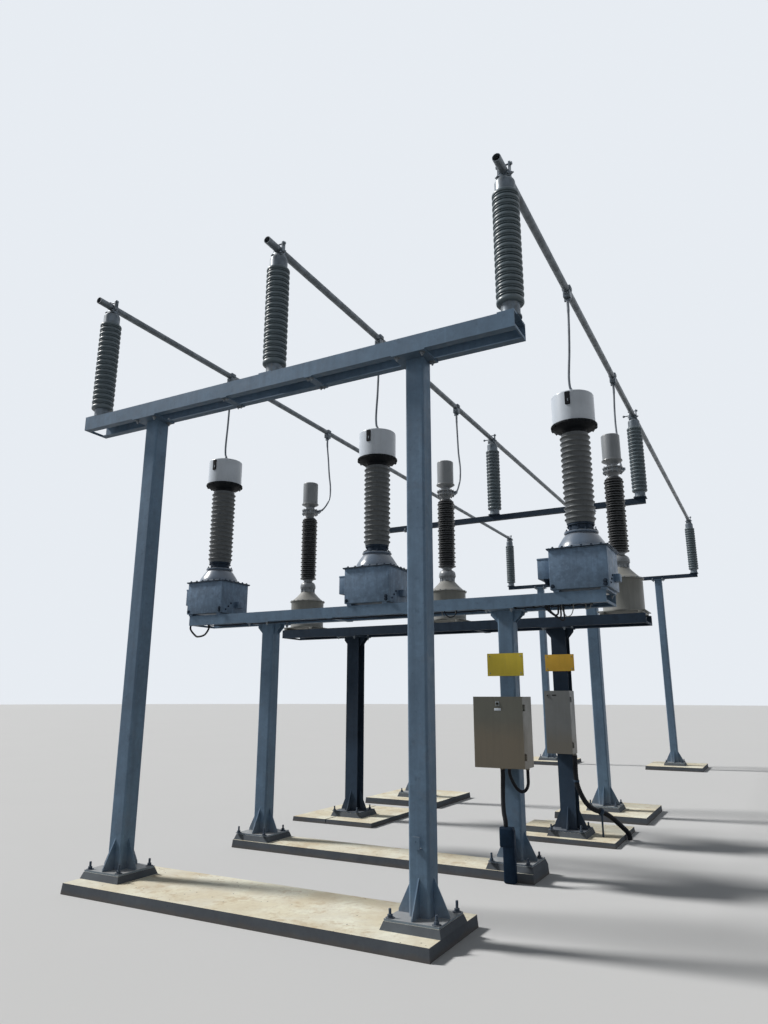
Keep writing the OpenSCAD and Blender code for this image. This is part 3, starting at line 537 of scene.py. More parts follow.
def concrete(name, colour):
    """Cast concrete: trowelled cream top with rust stains, and painted shade in dark blue-grey on the sides.
    """
    made = Finish(name, colour, rough=0.88)
    looks = made.effect("Facing", 0.25)
    cloud = made.cloudy((3.0, 0.5, 0.22), 1.15, 0.88)
    made.layers(("Patches", (26.0, 0.45, 0.12), 0.86, 0.6),
                ("Patches", (1.7, 0.50, 0.12), (0.62, 0.46, 0.22), 0.34),
                ("Patches", (6.5, 0.40, 0.07), (0.46, 0.28, 0.11), 0.30),
                ("Specks", (22.0, 0.20, 0.12), (0.08, 0.07, 0.06), 0.8))
    # Faces that do not look up are darkened with the painted side shade
    side = made.maths("SUBTRACT", 1.0, looks["Up"])
    made.over(side, made.mix(cloud, *SIDE_SHADE), 0.95)
    made.layers(("Band", (0.0, 0.05, 1.2), SOIL, 0.45))
    made.bump(made.effect("Grain", 120.0, 9.0)[0], 0.004, 0.5)
    made.done()


def porcelain(name, colour, dust, coat):
    """Glazed porcelain: smooth, with painted shade on the faces that look down and dust settled on the
    sheds.
    """
    made = Finish(name, colour, coat=coat, gleam=0.4)
    looks = made.effect("Facing", 0.6)
    cloud = made.cloudy((9.0, 0.5, 0.25), 1.12, 0.88)
    made.over(looks["Up"], DUST, dust)
    # Painted shade on faces that look down
    made.over(looks["Down"], 0.78, 0.6)
    made.layers(("Runs", (30.0, 0.4, 0.14), DUST, dust * 0.35))
    made.roughen(cloud, 0.38, 0.52)
    made.bump(made.effect("Grain", 60.0, 9.0)[0], 0.0002, 0.3)
    made.done()


def paint(name, colour, rough, dirt, coat=0.15, rust=0.0, low_tone=None):
    """Weathered paint: dust, runs, a few chips, and a warm tone laid low down where asked."""
    made = Finish(name, colour, coat=coat)
    cloud = made.cloudy((3.4, 0.5, 0.3), 1.08, 0.90)
    # Below the given level the colour turns to the given warm tone
    if low_tone:
        level, tone = low_tone
        made.layers(("Band", (level, 0.30, 0.5), tone, 0.75))
    made.layers(("Runs", (26.0, 0.42, 0.14), 0.66, dirt), ("Runs", (60.0, 0.36, 0.08), SOIL, dirt * 0.5),
                ("Facing", (0.4,), DUST, 0.35), ("Specks", (50.0, 0.14, 0.06), 0.45, 0.5))
    if rust:
        made.layers(("Specks", (18.0, 0.20, 0.10), RUST, rust))
    made.roughen(cloud, rough - 0.07, rough + 0.1)
    made.bump(made.effect("Grain", 260.0, 14.0)[0], 0.0003, 0.5)
    made.done()


def cast_metal(name, colour, rough, metal, grain):
    """Cast or drawn metal that has dulled outdoors."""
    made = Finish(name, colour, metal=metal)
    cloud = made.cloudy((9.0, 0.5, 0.2), 1.25, 0.75)
    made.layers(("Patches", (30.0, 0.4, 0.08), 0.6, 0.5),
                ("Runs", (50.0, 0.38, 0.1), (0.24, 0.20, 0.15), 0.3), ("Facing", (0.4,), DUST, 0.35))
    made.roughen(cloud, rough - 0.08, rough + 0.12)
    made.bump(made.effect("Grain", 180.0, 40.0)[0], grain, 0.4)
    made.done()


def rubber(name, colour, rough, dust, gleam):
    """Cable jacket and moulded plastic: nearly even, greyed where dust settles."""
    made = Finish(name, colour, gleam=gleam)
    cloud = made.cloudy((12.0, 0.5, 0.25), 1.35, 0.8)
    made.layers(("Facing", (0.6,), DUST, dust), ("Specks", (70.0, 0.18, 0.10), DUST, dust))
    made.roughen(cloud, rough - 0.08, rough + 0.12)
    made.bump(made.effect("Grain", 320.0, 30.0)[0], 0.0005, 0.5)
    made.done()


# For each finish: its kind, the red, green and blue shares by which its colour is mostly darkened and turned
# bluer as painted shade from open sky, and its values
RECIPES = {
    "galvanised": (zinc, (0.76, 0.89, 1.02), dict(
        scale=38.0, contrast=0.16, streak=0.22, brown=0.12, metal=0.12, rough=0.54, gleam=0.35)),
    "weathered": (zinc, (0.68, 0.95, 1.28), dict(
        scale=45.0, contrast=0.20, streak=0.10, brown=0.05, metal=0.04, rough=0.66, under=0.4,
        dust=0.15, gleam=0.2, foot=0.6)),
    "tank_steel": (zinc, (0.66, 0.82, 1.0), dict(
        scale=52.0, contrast=0.14, streak=0.36, brown=0.06, metal=0.16, rough=0.48, fine=60.0,
        gleam=0.4, mottle=0.6)),
    "bolt_zinc": (zinc, (0.80, 0.90, 1.0), dict(
        scale=90.0, contrast=0.18, streak=0.15, brown=0.30, metal=0.40, rough=0.44)),
    "concrete": (concrete, (1.08, 1.08, 1.08), {}),
    "grey_porcelain": (porcelain, (0.62, 0.76, 0.94), dict(dust=0.16, coat=0.15)),
    "charcoal_porcelain": (porcelain, (0.82, 0.92, 0.96), dict(dust=0.12, coat=0.12)),
    "brown_porcelain": (porcelain, (0.70, 0.80, 0.95), dict(dust=0.04, coat=0.20)),
    "casting": (cast_metal, (0.60, 0.73, 0.88), dict(rough=0.42, metal=0.25, grain=0.0012)),
    "tube_aluminium": (cast_metal, (0.52, 0.63, 0.80), dict(rough=0.40, metal=0.30, grain=0.0005)),
    "wire_aluminium": (cast_metal, (0.50, 0.56, 0.64), dict(rough=0.42, metal=0.30, grain=0.0005)),
    "head_paint": (paint, (0.78, 0.86, 0.97), dict(rough=0.34, dirt=0.14, coat=0.3)),
    "beige_paint": (paint, (0.76, 0.83, 0.90), dict(rough=0.50, dirt=0.40, rust=0.3)),
    "cap_paint": (paint, (0.68, 0.75, 0.85), dict(rough=0.40, dirt=0.30, coat=0.25)),
    "box_beige": (paint, (0.74, 0.76, 0.78), dict(
        rough=0.42, dirt=0.22, coat=0.08, low_tone=(1.30, (0.185, 0.155, 0.112)))),
    "box_grey": (paint, (0.76, 0.80, 0.88), dict(
        rough=0.44, dirt=0.26, coat=0.08, low_tone=(1.14, (0.180, 0.165, 0.135)))),
    "sign_yellow": (paint, (1, 1, 1), dict(rough=0.45, dirt=0.16, coat=0.2)),
    "sign_orange": (paint, (1, 1, 1), dict(rough=0.45, dirt=0.16, coat=0.2)),
    "dome_paint": (paint, (0.40, 0.50, 0.63), dict(rough=0.30, dirt=0.20, coat=0.5)),
    "sleeve_plastic": (rubber, (0.60, 0.85, 1.0), dict(rough=0.55, dust=0.01, gleam=0.12)),
    "black_cable": (rubber, (0.70, 0.80, 0.95), dict(rough=0.56, dust=0.06, gleam=0.15)),
    "black_trim": (rubber, (0.40, 0.50, 0.65), dict(rough=0.58, dust=0.01, gleam=0.12)),
}
# A finish that has no slot of its own starts from the colour of another slot
BORROWED_COLOUR = {"dome_paint": "tank_steel"}


def make_finishes(colours):
    # Each base colour is shifted by its shares into painted sky shade
    for name, (make, sky_shade_shares, values) in RECIPES.items():
        base = getattr(colours, BORROWED_COLOUR.get(name, name))
        make(name, [part * share for part, share in zip(base, sky_shade_shares)], **values)


# Outlines that several pieces use

# Share of a shed's depth, and share of the pitch, upwards from the gap under a shed
POST_SHED = ((0.0, 0.02), (0.0, 0.13), (0.55, 0.17), (0.66, 0.22), (0.62, 0.29), (0.26, 0.34), (0.30, 0.40),
             (0.80, 0.43), (0.95, 0.48), (1.0, 0.56), (1.0, 0.71), (0.93, 0.81), (0.70, 0.90), (0.28, 0.97))
VT_SHED = ((0.0, 0.0), (0.06, 0.20), (0.18, 0.42), (0.42, 0.60), (0.80, 0.71), (0.98, 0.76), (1.0, 0.79),
           (0.97, 0.83), (0.60, 0.89), (0.20, 0.94), (0.02, 0.98))
CVT_SHED = ((0.0, 0.04), (0.14, 0.18), (0.84, 0.14), (0.96, 0.18), (1.0, 0.32), (0.95, 0.48), (0.40, 0.70),
            (0.08, 0.90))


def sheds(low, high, count, core, rims, profile):
    """One shed over another, each with the same profile between the core and the rims in turn."""
    pitch = (high - low) / count
    return [(core + share * (rims[k % len(rims)] - core), low + (k + rise) * pitch)
            for k in range(count) for share, rise in profile]


def turned(name, slot, origin, outline, sides=48, axis=Z_AXIS, closed=False, **looks):
    """A piece that is one turned shape."""
    shape = Shape(origin)
    shape.lathe(outline, axis=axis, sides=sides, closed=closed)
    shape.piece(name, slot, **looks)


def oblong(half_w, half_h, corner):
    """A flat outline with round corners."""
    quarters = ((1, 1, 0), (-1, 1, 90), (-1, -1, 180), (1, -1, 270))
    return [point for side_x, side_y, start in quarters for point in arc(
        side_x * (half_w - corner), side_y * (half_h - corner), corner, corner, start, start + 90, 4)]


# Pieces


def post_insulator_pieces(support, sizes):
    """The three porcelain columns of a busbar support, with their cast feet and caps."""
    node, metal = f"insulators_{support}", f"insulator_castings_{support}"
    low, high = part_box(node)
    foot_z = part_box(metal)[0].z
    height, foot_h = high.z - low.z, low.z - foot_z
    rim, core = extent(node).y / 2, sizes.post_core
    sides = 48 if support == "a" else 36
    shaft = [(0, 0), (rim - 0.026, 0), (rim - 0.010, 0.003), (rim - 0.002, 0.012), (rim - 0.001, 0.024),
             (rim - 0.003, 0.040), (rim - 0.010, 0.049), (rim - 0.020, 0.052)]
    shaft += sheds(0.052, height, sizes.post_sheds, core, (rim,), POST_SHED) + [(core, height), (0, height)]
    foot = [(0, 0), (0.095, 0), (0.095, 0.013), (0.091, 0.017), (0.085, 0.021), (0.083, 0.030),
            (0.083, foot_h - 0.014), (0.086, foot_h - 0.004), (0.086, foot_h)]
    cap = [(0.101, -0.004), (0.102, 0.0), (0.102, 0.008), (0.094, 0.012), (0.093, 0.020)]
    cap += arc(0.063, 0.106, 0.030, 0.036, 0, 84, 7) + [(0.060, 0.147), (0, 0.148)]
    column, castings = Shape(), Shape()
    for phase in PHASES:
        column.origin = Vector((BUS_X[phase], middle(node).y, low.z))
        castings.origin = Vector((BUS_X[phase], middle(node).y, foot_z))
        column.lathe(shaft, sides=sides)
        castings.lathe(foot, sides=sides)
        castings.lathe(cap, (0, 0, high.z - foot_z), sides=sides)
        castings.ring(0.013, 0.0835, 4, 0.016, start=math.pi / 4)
    column.piece(f"post_porcelain_{support}", "grey_porcelain", stands_for=[node])
    castings.piece(f"post_castings_{support}", "casting", stands_for=[metal])


# The wound transformers' tank: its half sizes, and levels over the beam
TANK_X = 0.301
TANK_Y = 0.2675
TANK_LOW = 0.024
TERMINALS_LOW = 0.1695
TERMINALS_HIGH = 0.3945
LID_LOW = 0.449
LID_HIGH = 0.462
# Their head: its radius, and levels over the porcelain
HEAD_R = 0.233
SKIRT_TOP = 0.108
HEAD_TOP = 0.455


def vt_pieces(phase, sizes, hardware):
    """One wound voltage transformer: tank, turret, porcelain, skirted head and terminal."""
    base = f"vt_{phase}"
    node = f"{base}_insulator"
    low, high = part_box(node)
    axis = Vector((PHASE_X[phase], middle(node).y, 0))
    core, rim = sizes.vt_core, extent(node).x / 2
    outline = sheds(low.z, high.z - 0.029, sizes.vt_sheds, core, (rim,), VT_SHED)
    turned(f"{base}_porcelain", "charcoal_porcelain", axis, [(0, low.z), (core, low.z)] + outline
           + [(core, high.z), (0, high.z)], 60, stands_for=[node])
    floor = axis + Z_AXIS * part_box(f"{base}_tank")[0].z
    vt_tank_pieces(base, floor)
    vt_turret_pieces(base, floor + Z_AXIS * LID_HIGH)
    vt_bolt_piece(base, floor, hardware.small_bolt)
    vt_head_pieces(base, axis + Z_AXIS * high.z)
    vt_gauge_pieces(base, axis + Z_AXIS * high.z)
    vt_terminal_piece(base, axis + Z_AXIS * (high.z + HEAD_TOP - 0.001))


def vt_tank_pieces(base, floor):
    """The tank on its runners, with its lid, a black gasket strip that stands for the shadow under the lid,
    terminal box and valve box.
    """
    tank, gasket = Shape(floor), Shape(floor)
    for side in (-1, 1):
        tank.slab(0.030, 0.2575, 0, TANK_LOW, 0.003, (side * 0.241, 0))
    tank.slab(TANK_X, TANK_Y, TANK_LOW, LID_LOW, 0.009, segments=3)
    # The black gasket strip between flange and lid is painted shadow under the lid's edge
    for shape, past, low, high in ((tank, 0.014, LID_LOW - 0.006, LID_LOW),
                                   (tank, 0.019, LID_LOW + 0.008, LID_HIGH),
                                   (gasket, 0.018, LID_LOW - 0.001, LID_LOW + 0.0085)):
        shape.slab(TANK_X + past, TANK_Y + past, low, high, 0.002)
    gasket.piece(f"{base}_lid_shadow_gasket", "black_trim")
    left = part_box(f"{base}_tank")[0].x - floor.x
    tank.block((left + 0.003, -0.122, TERMINALS_LOW), (-TANK_X, 0.122, TERMINALS_HIGH - 0.016), 0.006)
    tank.block((left, -0.125, TERMINALS_HIGH - 0.020), (-TANK_X, 0.125, TERMINALS_HIGH), 0.004)
    tank.block((TANK_X, 0.005, 0.110), (TANK_X + 0.060, 0.115, 0.190), 0.005)
    tank.piece(f"{base}_tank_body", "tank_steel", stands_for=[f"{base}_tank"])


def vt_turret_pieces(base, lid):
    """The flared turret on the lid, and the clamped neck that carries the porcelain."""
    turned(f"{base}_turret", "tank_steel", lid, [
        (0.270, 0), (0.270, 0.012), (0.266, 0.016), (0.262, 0.018), (0.258, 0.030), (0.251, 0.048),
        (0.240, 0.068), (0.226, 0.090), (0.211, 0.113), (0.197, 0.134), (0.184, 0.152), (0.172, 0.165),
        (0.160, 0.173), (0.160, 0.177), (0.176, 0.179), (0.180, 0.183), (0.180, 0.195), (0.176, 0.199),
        (0, 0.199)], 72, finish="dome_paint")
    turned(f"{base}_neck", "weathered", lid, [
        (0.142, 0.196), (0.142, 0.206), (0.128, 0.212), (0.128, 0.262), (0.140, 0.270), (0.140, 0.290),
        (0, 0.290)])


def vt_bolt_piece(base, floor, across):
    """Bolts of the turret, neck, lid and tank, and the glands under the terminal box."""
    bolts = Shape(floor)
    bolts.ring(LID_HIGH + 0.199, 0.158, 12, across, thread=0.012)
    bolts.ring(LID_HIGH + 0.270, 0.136, 8, 0.018, axis=-Z_AXIS, thread=0.010)
    for along in (-0.25 + 0.1 * i for i in range(6)):
        for side in (-1, 1):
            bolts.bolt((along, side * (TANK_Y + 0.004), LID_HIGH), Z_AXIS, 0.019)
            bolts.bolt((side * (TANK_X + 0.004), along * 0.88, LID_HIGH), Z_AXIS, 0.019)
    for x, z in ((TANK_X - 0.035, 0.062), (TANK_X - 0.035, 0.030), (0.030 - TANK_X, 0.036)):
        bolts.bolt((x, -TANK_Y, TANK_LOW + z), -Y_AXIS, 0.024)
    for i in range(3):
        bolts.bolt((TANK_X, -0.18 + 0.05 * i, TANK_LOW + 0.05 + 0.045 * i), X_AXIS, 0.014)
    for y in (-0.06, 0.0, 0.06):
        bolts.lathe([(0.012, -0.052), (0.015, -0.050), (0.015, -0.036), (0.020, -0.034), (0.020, -0.018),
                     (0.024, -0.016), (0.024, 0.0)], (-TANK_X - 0.09, y, TERMINALS_LOW), sides=16)
    bolts.piece(f"{base}_tank_bolts", "weathered")


def vt_head_pieces(base, foot):
    """The flanged skirt, black as painted shade under the head, and the pale shell over it."""
    skirt = Shape(foot)
    skirt.lathe([(0, 0), (0.126, 0), (0.128, 0.004), (0.128, 0.036), (0.134, 0.043), (0.200, 0.054),
                 (0.226, 0.072), (0.248, 0.083), (0.252, 0.086), (0.252, 0.093), (0.249, 0.096),
                 (0.252, 0.098), (0.252, 0.105), (0.246, SKIRT_TOP), (0, SKIRT_TOP)], sides=80)
    skirt.ring(0.086, 0.241, 16, 0.018, axis=-Z_AXIS, thread=0.006)
    # The black finish of the skirt and its rim is painted shade under the head
    skirt.piece(f"{base}_skirt", "black_trim")
    rounding = 0.020
    edge = arc(HEAD_R - rounding, HEAD_TOP - rounding, rounding, rounding, 10, 82, 6)
    turned(f"{base}_head_shell", "head_paint", foot, [(HEAD_R, SKIRT_TOP), (HEAD_R, HEAD_TOP - rounding)]
           + edge + [(HEAD_R - 0.04, HEAD_TOP - 0.002), (0.12, HEAD_TOP), (0, HEAD_TOP)], 80,
           stands_for=[f"{base}_head"], sharp=50)


def vt_gauge_pieces(base, foot):
    """The oil gauge on the front of the head, and the float in its glass."""
    gauge, mark = Shape(foot), Shape(foot)
    facing = Matrix.Translation((0, 0.006 - HEAD_R, HEAD_TOP - 0.096)) @ Matrix.Rotation(math.pi / 2, 4, "X")
    gauge.prism(oblong(0.029, 0.076, 0.012), 0.012, facing)
    gauge.prism(oblong(0.022, 0.068, 0.010), 0.015, facing)
    gauge.piece(f"{base}_gauge", "black_trim")
    mark.prism(oblong(0.005, 0.016, 0.004), 0.016, Matrix.Translation((0.004, 0, -0.024)) @ facing)
    mark.piece(f"{base}_gauge_float", "bolt_zinc")


def vt_terminal_piece(base, top):
    """The line terminal on the head, whose clamp holds the dropper's end."""
    terminal = Shape(top)
    terminal.lathe([(0.045, 0), (0.045, 0.008), (0.022, 0.012), (0.020, 0.040), (0.016, 0.046),
                    (0, 0.046)], sides=24)
    terminal.slab(0.045, 0.022, 0.018, 0.034, 0.003)
    terminal.slab(0.024, 0.024, 0.030, 0.072, 0.005, (0, 0.020))
    for side in (-1, 1):
        terminal.bolt((side * 0.034, 0, 0.034), Z_AXIS, 0.018, 0.008)
    terminal.bolt((0.024, 0.020, 0.050), X_AXIS, 0.020, 0.014)
    terminal.piece(f"{base}_terminal", "wire_aluminium")


# The capacitor transformers' tank: levels of its brim and cover over the beam
BRIM_HIGH = 0.471
COVER_HIGH = 0.626


def cvt_pieces(phase, sizes):
    """One capacitor voltage transformer: round tank, cover, bell, porcelain, bolted joint and cap."""
    base = f"cvt_{phase}"
    node = f"{base}_insulator"
    low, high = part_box(node)
    axis = Vector((PHASE_X[phase], middle(node).y, 0))
    rim, core, height = extent(node).x / 2, sizes.cvt_core, high.z - low.z
    outline = sheds(0.006, height - 0.006, 2 * sizes.cvt_sheds, core, (rim, sizes.cvt_rib), CVT_SHED)
    turned(f"{base}_porcelain", "brown_porcelain", axis + Z_AXIS * low.z, [(0, 0), (core, 0)] + outline
           + [(core, height), (0, height)], 52, stands_for=[node])
    floor = axis + Z_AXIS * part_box(f"{base}_tank")[0].z
    cvt_tank_pieces(base, floor)
    cvt_top_pieces(base, axis + Z_AXIS * high.z)
    cvt_bolt_piece(base, floor, high.z - floor.z)


def cvt_tank_pieces(base, floor):
    """The round tank on its runners, with the brim and conical cover, and the bell on top."""
    tank = Shape(floor)
    for side in (-1, 1):
        tank.slab(0.030, 0.25, 0, 0.033, 0.004, (side * 0.240, 0))
    tank.slab(0.300, 0.25, 0.033, 0.045, 0.003)
    cone = [(0.250 - 0.134 * (k / 8) ** 0.92, 0.486 + 0.130 * (k / 8) ** 1.08) for k in range(9)]
    tank.lathe([(0.263, 0.045), (0.2645, 0.052), (0.2645, 0.060), (0.263, 0.064), (0.263, 0.440),
                (0.265, 0.444), (0.265, 0.452), (0.263, 0.457), (0.279, 0.457), (0.281, 0.459),
                (0.281, 0.469), (0.279, BRIM_HIGH), (0.262, BRIM_HIGH), (0.256, 0.478)] + cone
               + [(0.108, 0.624), (0.104, 0.628), (0, 0.628)], sides=72)
    tank.piece(f"{base}_tank_body", "beige_paint", stands_for=[f"{base}_tank"])
    turned(f"{base}_bell", "cap_paint", floor + Z_AXIS * COVER_HIGH, [
        (0.104, -0.002), (0.104, 0.048), (0.116, 0.050), (0.118, 0.053), (0.118, 0.062), (0.114, 0.065),
        (0.124, 0.066), (0.126, 0.070), (0.126, 0.082)] + arc(0.078, 0.084, 0.048, 0.080, 10, 80, 7) + [
        (0.072, 0.168), (0.070, 0.174), (0.070, 0.196), (0.082, 0.200), (0.082, 0.208), (0.076, 0.210),
        (0, 0.210)], 64)


def cvt_top_pieces(base, foot):
    """The joint of two flanges over the porcelain, and the cap."""
    turned(f"{base}_joint", "cap_paint", foot, [
        (0, 0), (0.080, 0), (0.082, 0.003), (0.082, 0.013), (0.078, 0.017), (0.064, 0.020), (0.065, 0.030),
        (0.076, 0.052), (0.092, 0.068), (0.104, 0.074), (0.132, 0.076), (0.135, 0.079), (0.135, 0.090),
        (0.132, 0.093), (0.108, 0.095), (0.106, 0.100), (0.106, 0.124), (0.108, 0.129), (0.132, 0.131),
        (0.135, 0.134), (0.135, 0.144), (0.131, 0.147), (0.074, 0.150), (0.070, 0.156), (0.070, 0.196),
        (0.084, 0.210), (0.120, 0.230), (0.139, 0.242), (0.141, 0.246), (0.139, 0.253), (0.126, 0.258)], 64)
    radius, rounding, low, top = 0.125, 0.018, 0.256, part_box(f"{base}_cap")[1].z - foot.z
    edge = arc(radius - rounding, top - rounding, rounding, rounding, 15, 90, 5)
    turned(f"{base}_cap_shell", "cap_paint", foot, [(radius, low), (radius, top - rounding)] + edge
           + [(0, top)], 64, stands_for=[f"{base}_cap"], sharp=50)


def cvt_bolt_piece(base, floor, foot_z):
    """Bolts of joint, cover and brim, and the slanting lug that holds the dropper's end."""
    bolts = Shape(floor)
    joint_rod = [(0, 0.062), (0.009, 0.062), (0.009, 0.076), (0.006, 0.078), (0.006, 0.146),
                 (0.009, 0.148), (0.009, 0.160), (0, 0.160)]
    cover_rod = [(0, -0.006), (0.005, -0.006), (0.005, 0.050), (0, 0.050)]
    for rod, radius, z in ((joint_rod, 0.121, foot_z), (cover_rod, 0.109, COVER_HIGH)):
        for turn in (0.13 + math.tau * k / 12 for k in range(12)):
            bolts.lathe(rod, (radius * math.cos(turn), radius * math.sin(turn), z), sides=8)
    bolts.ring(BRIM_HIGH, 0.271, 20, 0.014)
    lug = Matrix.Translation((0, 0, foot_z + 0.113)) @ Matrix.Rotation(math.radians(41), 4, "Z")
    bolts.block((0.110, -0.025, -0.010), (0.165, 0.025, 0.010), 0.003, lug)
    bolts.block((0.138, -0.024, 0.010), (0.186, 0.024, 0.050), 0.005, lug)
    bolts.bolt(lug @ Vector((0.150, -0.024, 0.028)), -Y_AXIS, 0.018, 0.008)
    bolts.piece(f"{base}_bolts", "bolt_zinc")


def anchor_pieces(hardware):
    """Studs, nuts and washers that hold the base plates down."""
    rng = random.Random(4)
    reach, slant, uneven = 0.19, 0.02, 0.012
    for name in ("a", "b", "c", "d", "e"):
        node = f"posts_{name}"
        anchors = Shape()
        for side in (-1, 1):
            anchors.origin = Vector((ORIGIN.x + side * POST_X, middle(node).y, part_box(node)[0].z + 0.016))
            for side_x, side_y in CORNERS:
                lean = Vector((rng.uniform(-slant, slant), rng.uniform(-slant, slant), 1)).normalized()
                height = hardware.anchor_height - 0.03 + rng.uniform(-uneven, uneven)
                anchors.bolt((side_x * reach, side_y * reach, 0), lean, hardware.anchor_nut, height)
        anchors.piece(f"anchors_{name}", "weathered")


# For each kind of beam: rise of its web over its box, half spans of the bolts at a post head, levels of
# the nuts over and under the web, and the upper thread; then half spans, level, axis, width and thread
# of the bolts at each insulator or tank
CHANNELS_A = ((0.008, 0.125, 0.110, 0.010, -0.012, 0.012), (0.055, 0.125, 0, Z_AXIS, 0.018, 0))
SQUARE_TUBE = ((0.0, 0.125, 0.068, 0.0, -0.012, 0.012), (0.078, 0.078, 0, Z_AXIS, 0.018, 0))
CHANNELS_BC = ((0.008, 0.14, 0.215, 0.008, -0.010, 0.01), (0.23, 0.215, -0.010, -Z_AXIS, 0.024, 0.016))
BEAM_BOLTS = {"a": CHANNELS_A, "d": SQUARE_TUBE, "e": SQUARE_TUBE, "b": CHANNELS_BC, "c": CHANNELS_BC}


def beam_bolt_pieces(hardware):
    """Bolts at the post heads, the battens and the insulators' and tanks' feet."""
    for name, (head, item) in BEAM_BOLTS.items():
        node = f"beam_{name}"
        low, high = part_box(node)
        rise, half_x, half_y, over, under, thread = head
        bolts = Shape()
        for side in (-1, 1):
            bolts.origin = Vector((ORIGIN.x + side * POST_X, middle(node).y, low.z + rise))
            bolts.square(half_x, half_y, over, Z_AXIS, hardware.frame_bolt, thread)
            bolts.square(half_x, half_y, under, -Z_AXIS, hardware.frame_bolt, 0.014)
            if name == "a":
                bolts.origin.x = middle(node).x + side * 0.52
                bolts.square(0.02, 0.115, -rise, -Z_AXIS, 0.022, 0.01)
        for x in (BUS_X if name in SUPPORTS else PHASE_X).values():
            bolts.origin = Vector((x, middle(node).y, high.z))
            bolts.square(*item)
        bolts.piece(f"beam_bolts_{name}", "bolt_zinc")


def clamp_parts(clamps, bolts):
    """The cradle, the two ears and the keeper bolt that hold a tube on its insulator."""
    seat = -0.088
    clamps.slab(0.065, 0.055, seat, seat + 0.014, 0.003)
    clamps.slab(0.048, 0.035, seat + 0.012, -0.030, 0.007)
    clamps.lathe([(0, 0), (0.008, 0), (0.008, 0.144), (0, 0.144)], (-0.072, 0, 0.070), X_AXIS, 16)
    crown = arc(0, 0.070, 0.025, 0.025, 0, 180, 12)
    ear = [(0.025, seat + 0.013)] + crown + [(-0.025, seat + 0.013)]
    for side, ear_x in ((-1, -0.058), (1, 0.046)):
        clamps.slab(0.009, 0.028, -0.034, -0.004, 0.004, (side * 0.039, 0))
        clamps.prism(ear, 0.012, Matrix.Translation((ear_x, 0, 0)) @ UPRIGHT)
        bolts.bolt((side * 0.058, 0, 0.070), X_AXIS * side, 0.026)
        bolts.bolt((side * 0.058, 0, -0.030), X_AXIS * side, 0.024, 0.012)
    bolts.square(0.049, 0.044, -0.074, Z_AXIS, 0.022, 0.006)


def palm_parts(clamps, bolts):
    """The clamp and palm that a dropper hangs from."""
    clamps.slab(0.052, 0.048, -0.010, 0.046, 0.012, segments=3)
    clamps.slab(0.040, 0.050, -0.104, -0.008, 0.006)
    clamps.slab(0.035, 0.007, -0.140, -0.100, 0.003)
    bolts.block((-0.037, -0.013, -0.140), (-0.006, 0.013, -0.100), 0.003)
    for side in (-1, 1):
        bolts.bolt((0.018 * side, -0.050, -0.060), -Y_AXIS, 0.018, 0.004)


def busbar_pieces():
    """The three tubes, open at their ends, with their clamps, dropper palms and earthing studs."""
    outer, inner, edge = 0.040, 0.034, 0.001
    for phase in PHASES:
        node = f"tube_{phase}"
        low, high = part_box(node)
        span = high.y - low.y
        axis = Vector((BUS_X[phase], low.y, high.z - 0.095))
        turned(f"busbar_{phase}", "tube_aluminium", axis, [
            (inner, 0), (outer - edge, 0), (outer, edge), (outer, span - edge), (outer - edge, span),
            (inner, span)], axis=Y_AXIS, closed=True, stands_for=[node])
        clamps, bolts = Shape(axis), Shape(axis)
        rows = [(middle(f"insulators_{support}").y, clamp_parts) for support in SUPPORTS]
        for y, parts in rows + [(ORIGIN.y + VT_ROW, palm_parts), (ORIGIN.y + CVT_ROW, palm_parts)]:
            clamps.origin.y = bolts.origin.y = y
            parts(clamps, bolts)
        clamps.origin.y = middle("insulators_d").y
        clamps.lathe(arc(0, 0, 0.020, 0.020, -90, 90, 12), (-0.150, 0, 0), sides=24)
        clamps.lathe([(0, 0), (0.009, 0), (0.009, 0.096), (0, 0.096)], (-0.148, 0, 0), X_AXIS, 16)
        clamps.piece(f"clamps_{phase}", "casting")
        bolts.piece(f"clamp_bolts_{phase}", "bolt_zinc")


# Routes of the cords, from the transformer's axis for a dropper and from the origin for the others
VT_DROPPER = ((0.030, 0, 6.222), (0.030, 0, 6.100), (0.022, 0, 5.840), (0.008, 0.005, 5.580),
              (-0.008, 0.010, 5.400), (-0.018, 0.015, 5.260), (-0.014, 0.018, 5.160),
              (0, 0.020, 5.120), (0, 0.020, 5.080))
CVT_DROPPER = ((0.030, 0, 6.222), (0.030, 0, 6.110), (0.042, -0.008, 5.830), (0.062, -0.032, 5.560),
               (0.102, -0.078, 5.300), (0.121, -0.140, 5.090), (0.122, -0.212, 4.945),
               (0.122, -0.284, 4.850), (0.124, -0.332, 4.826))
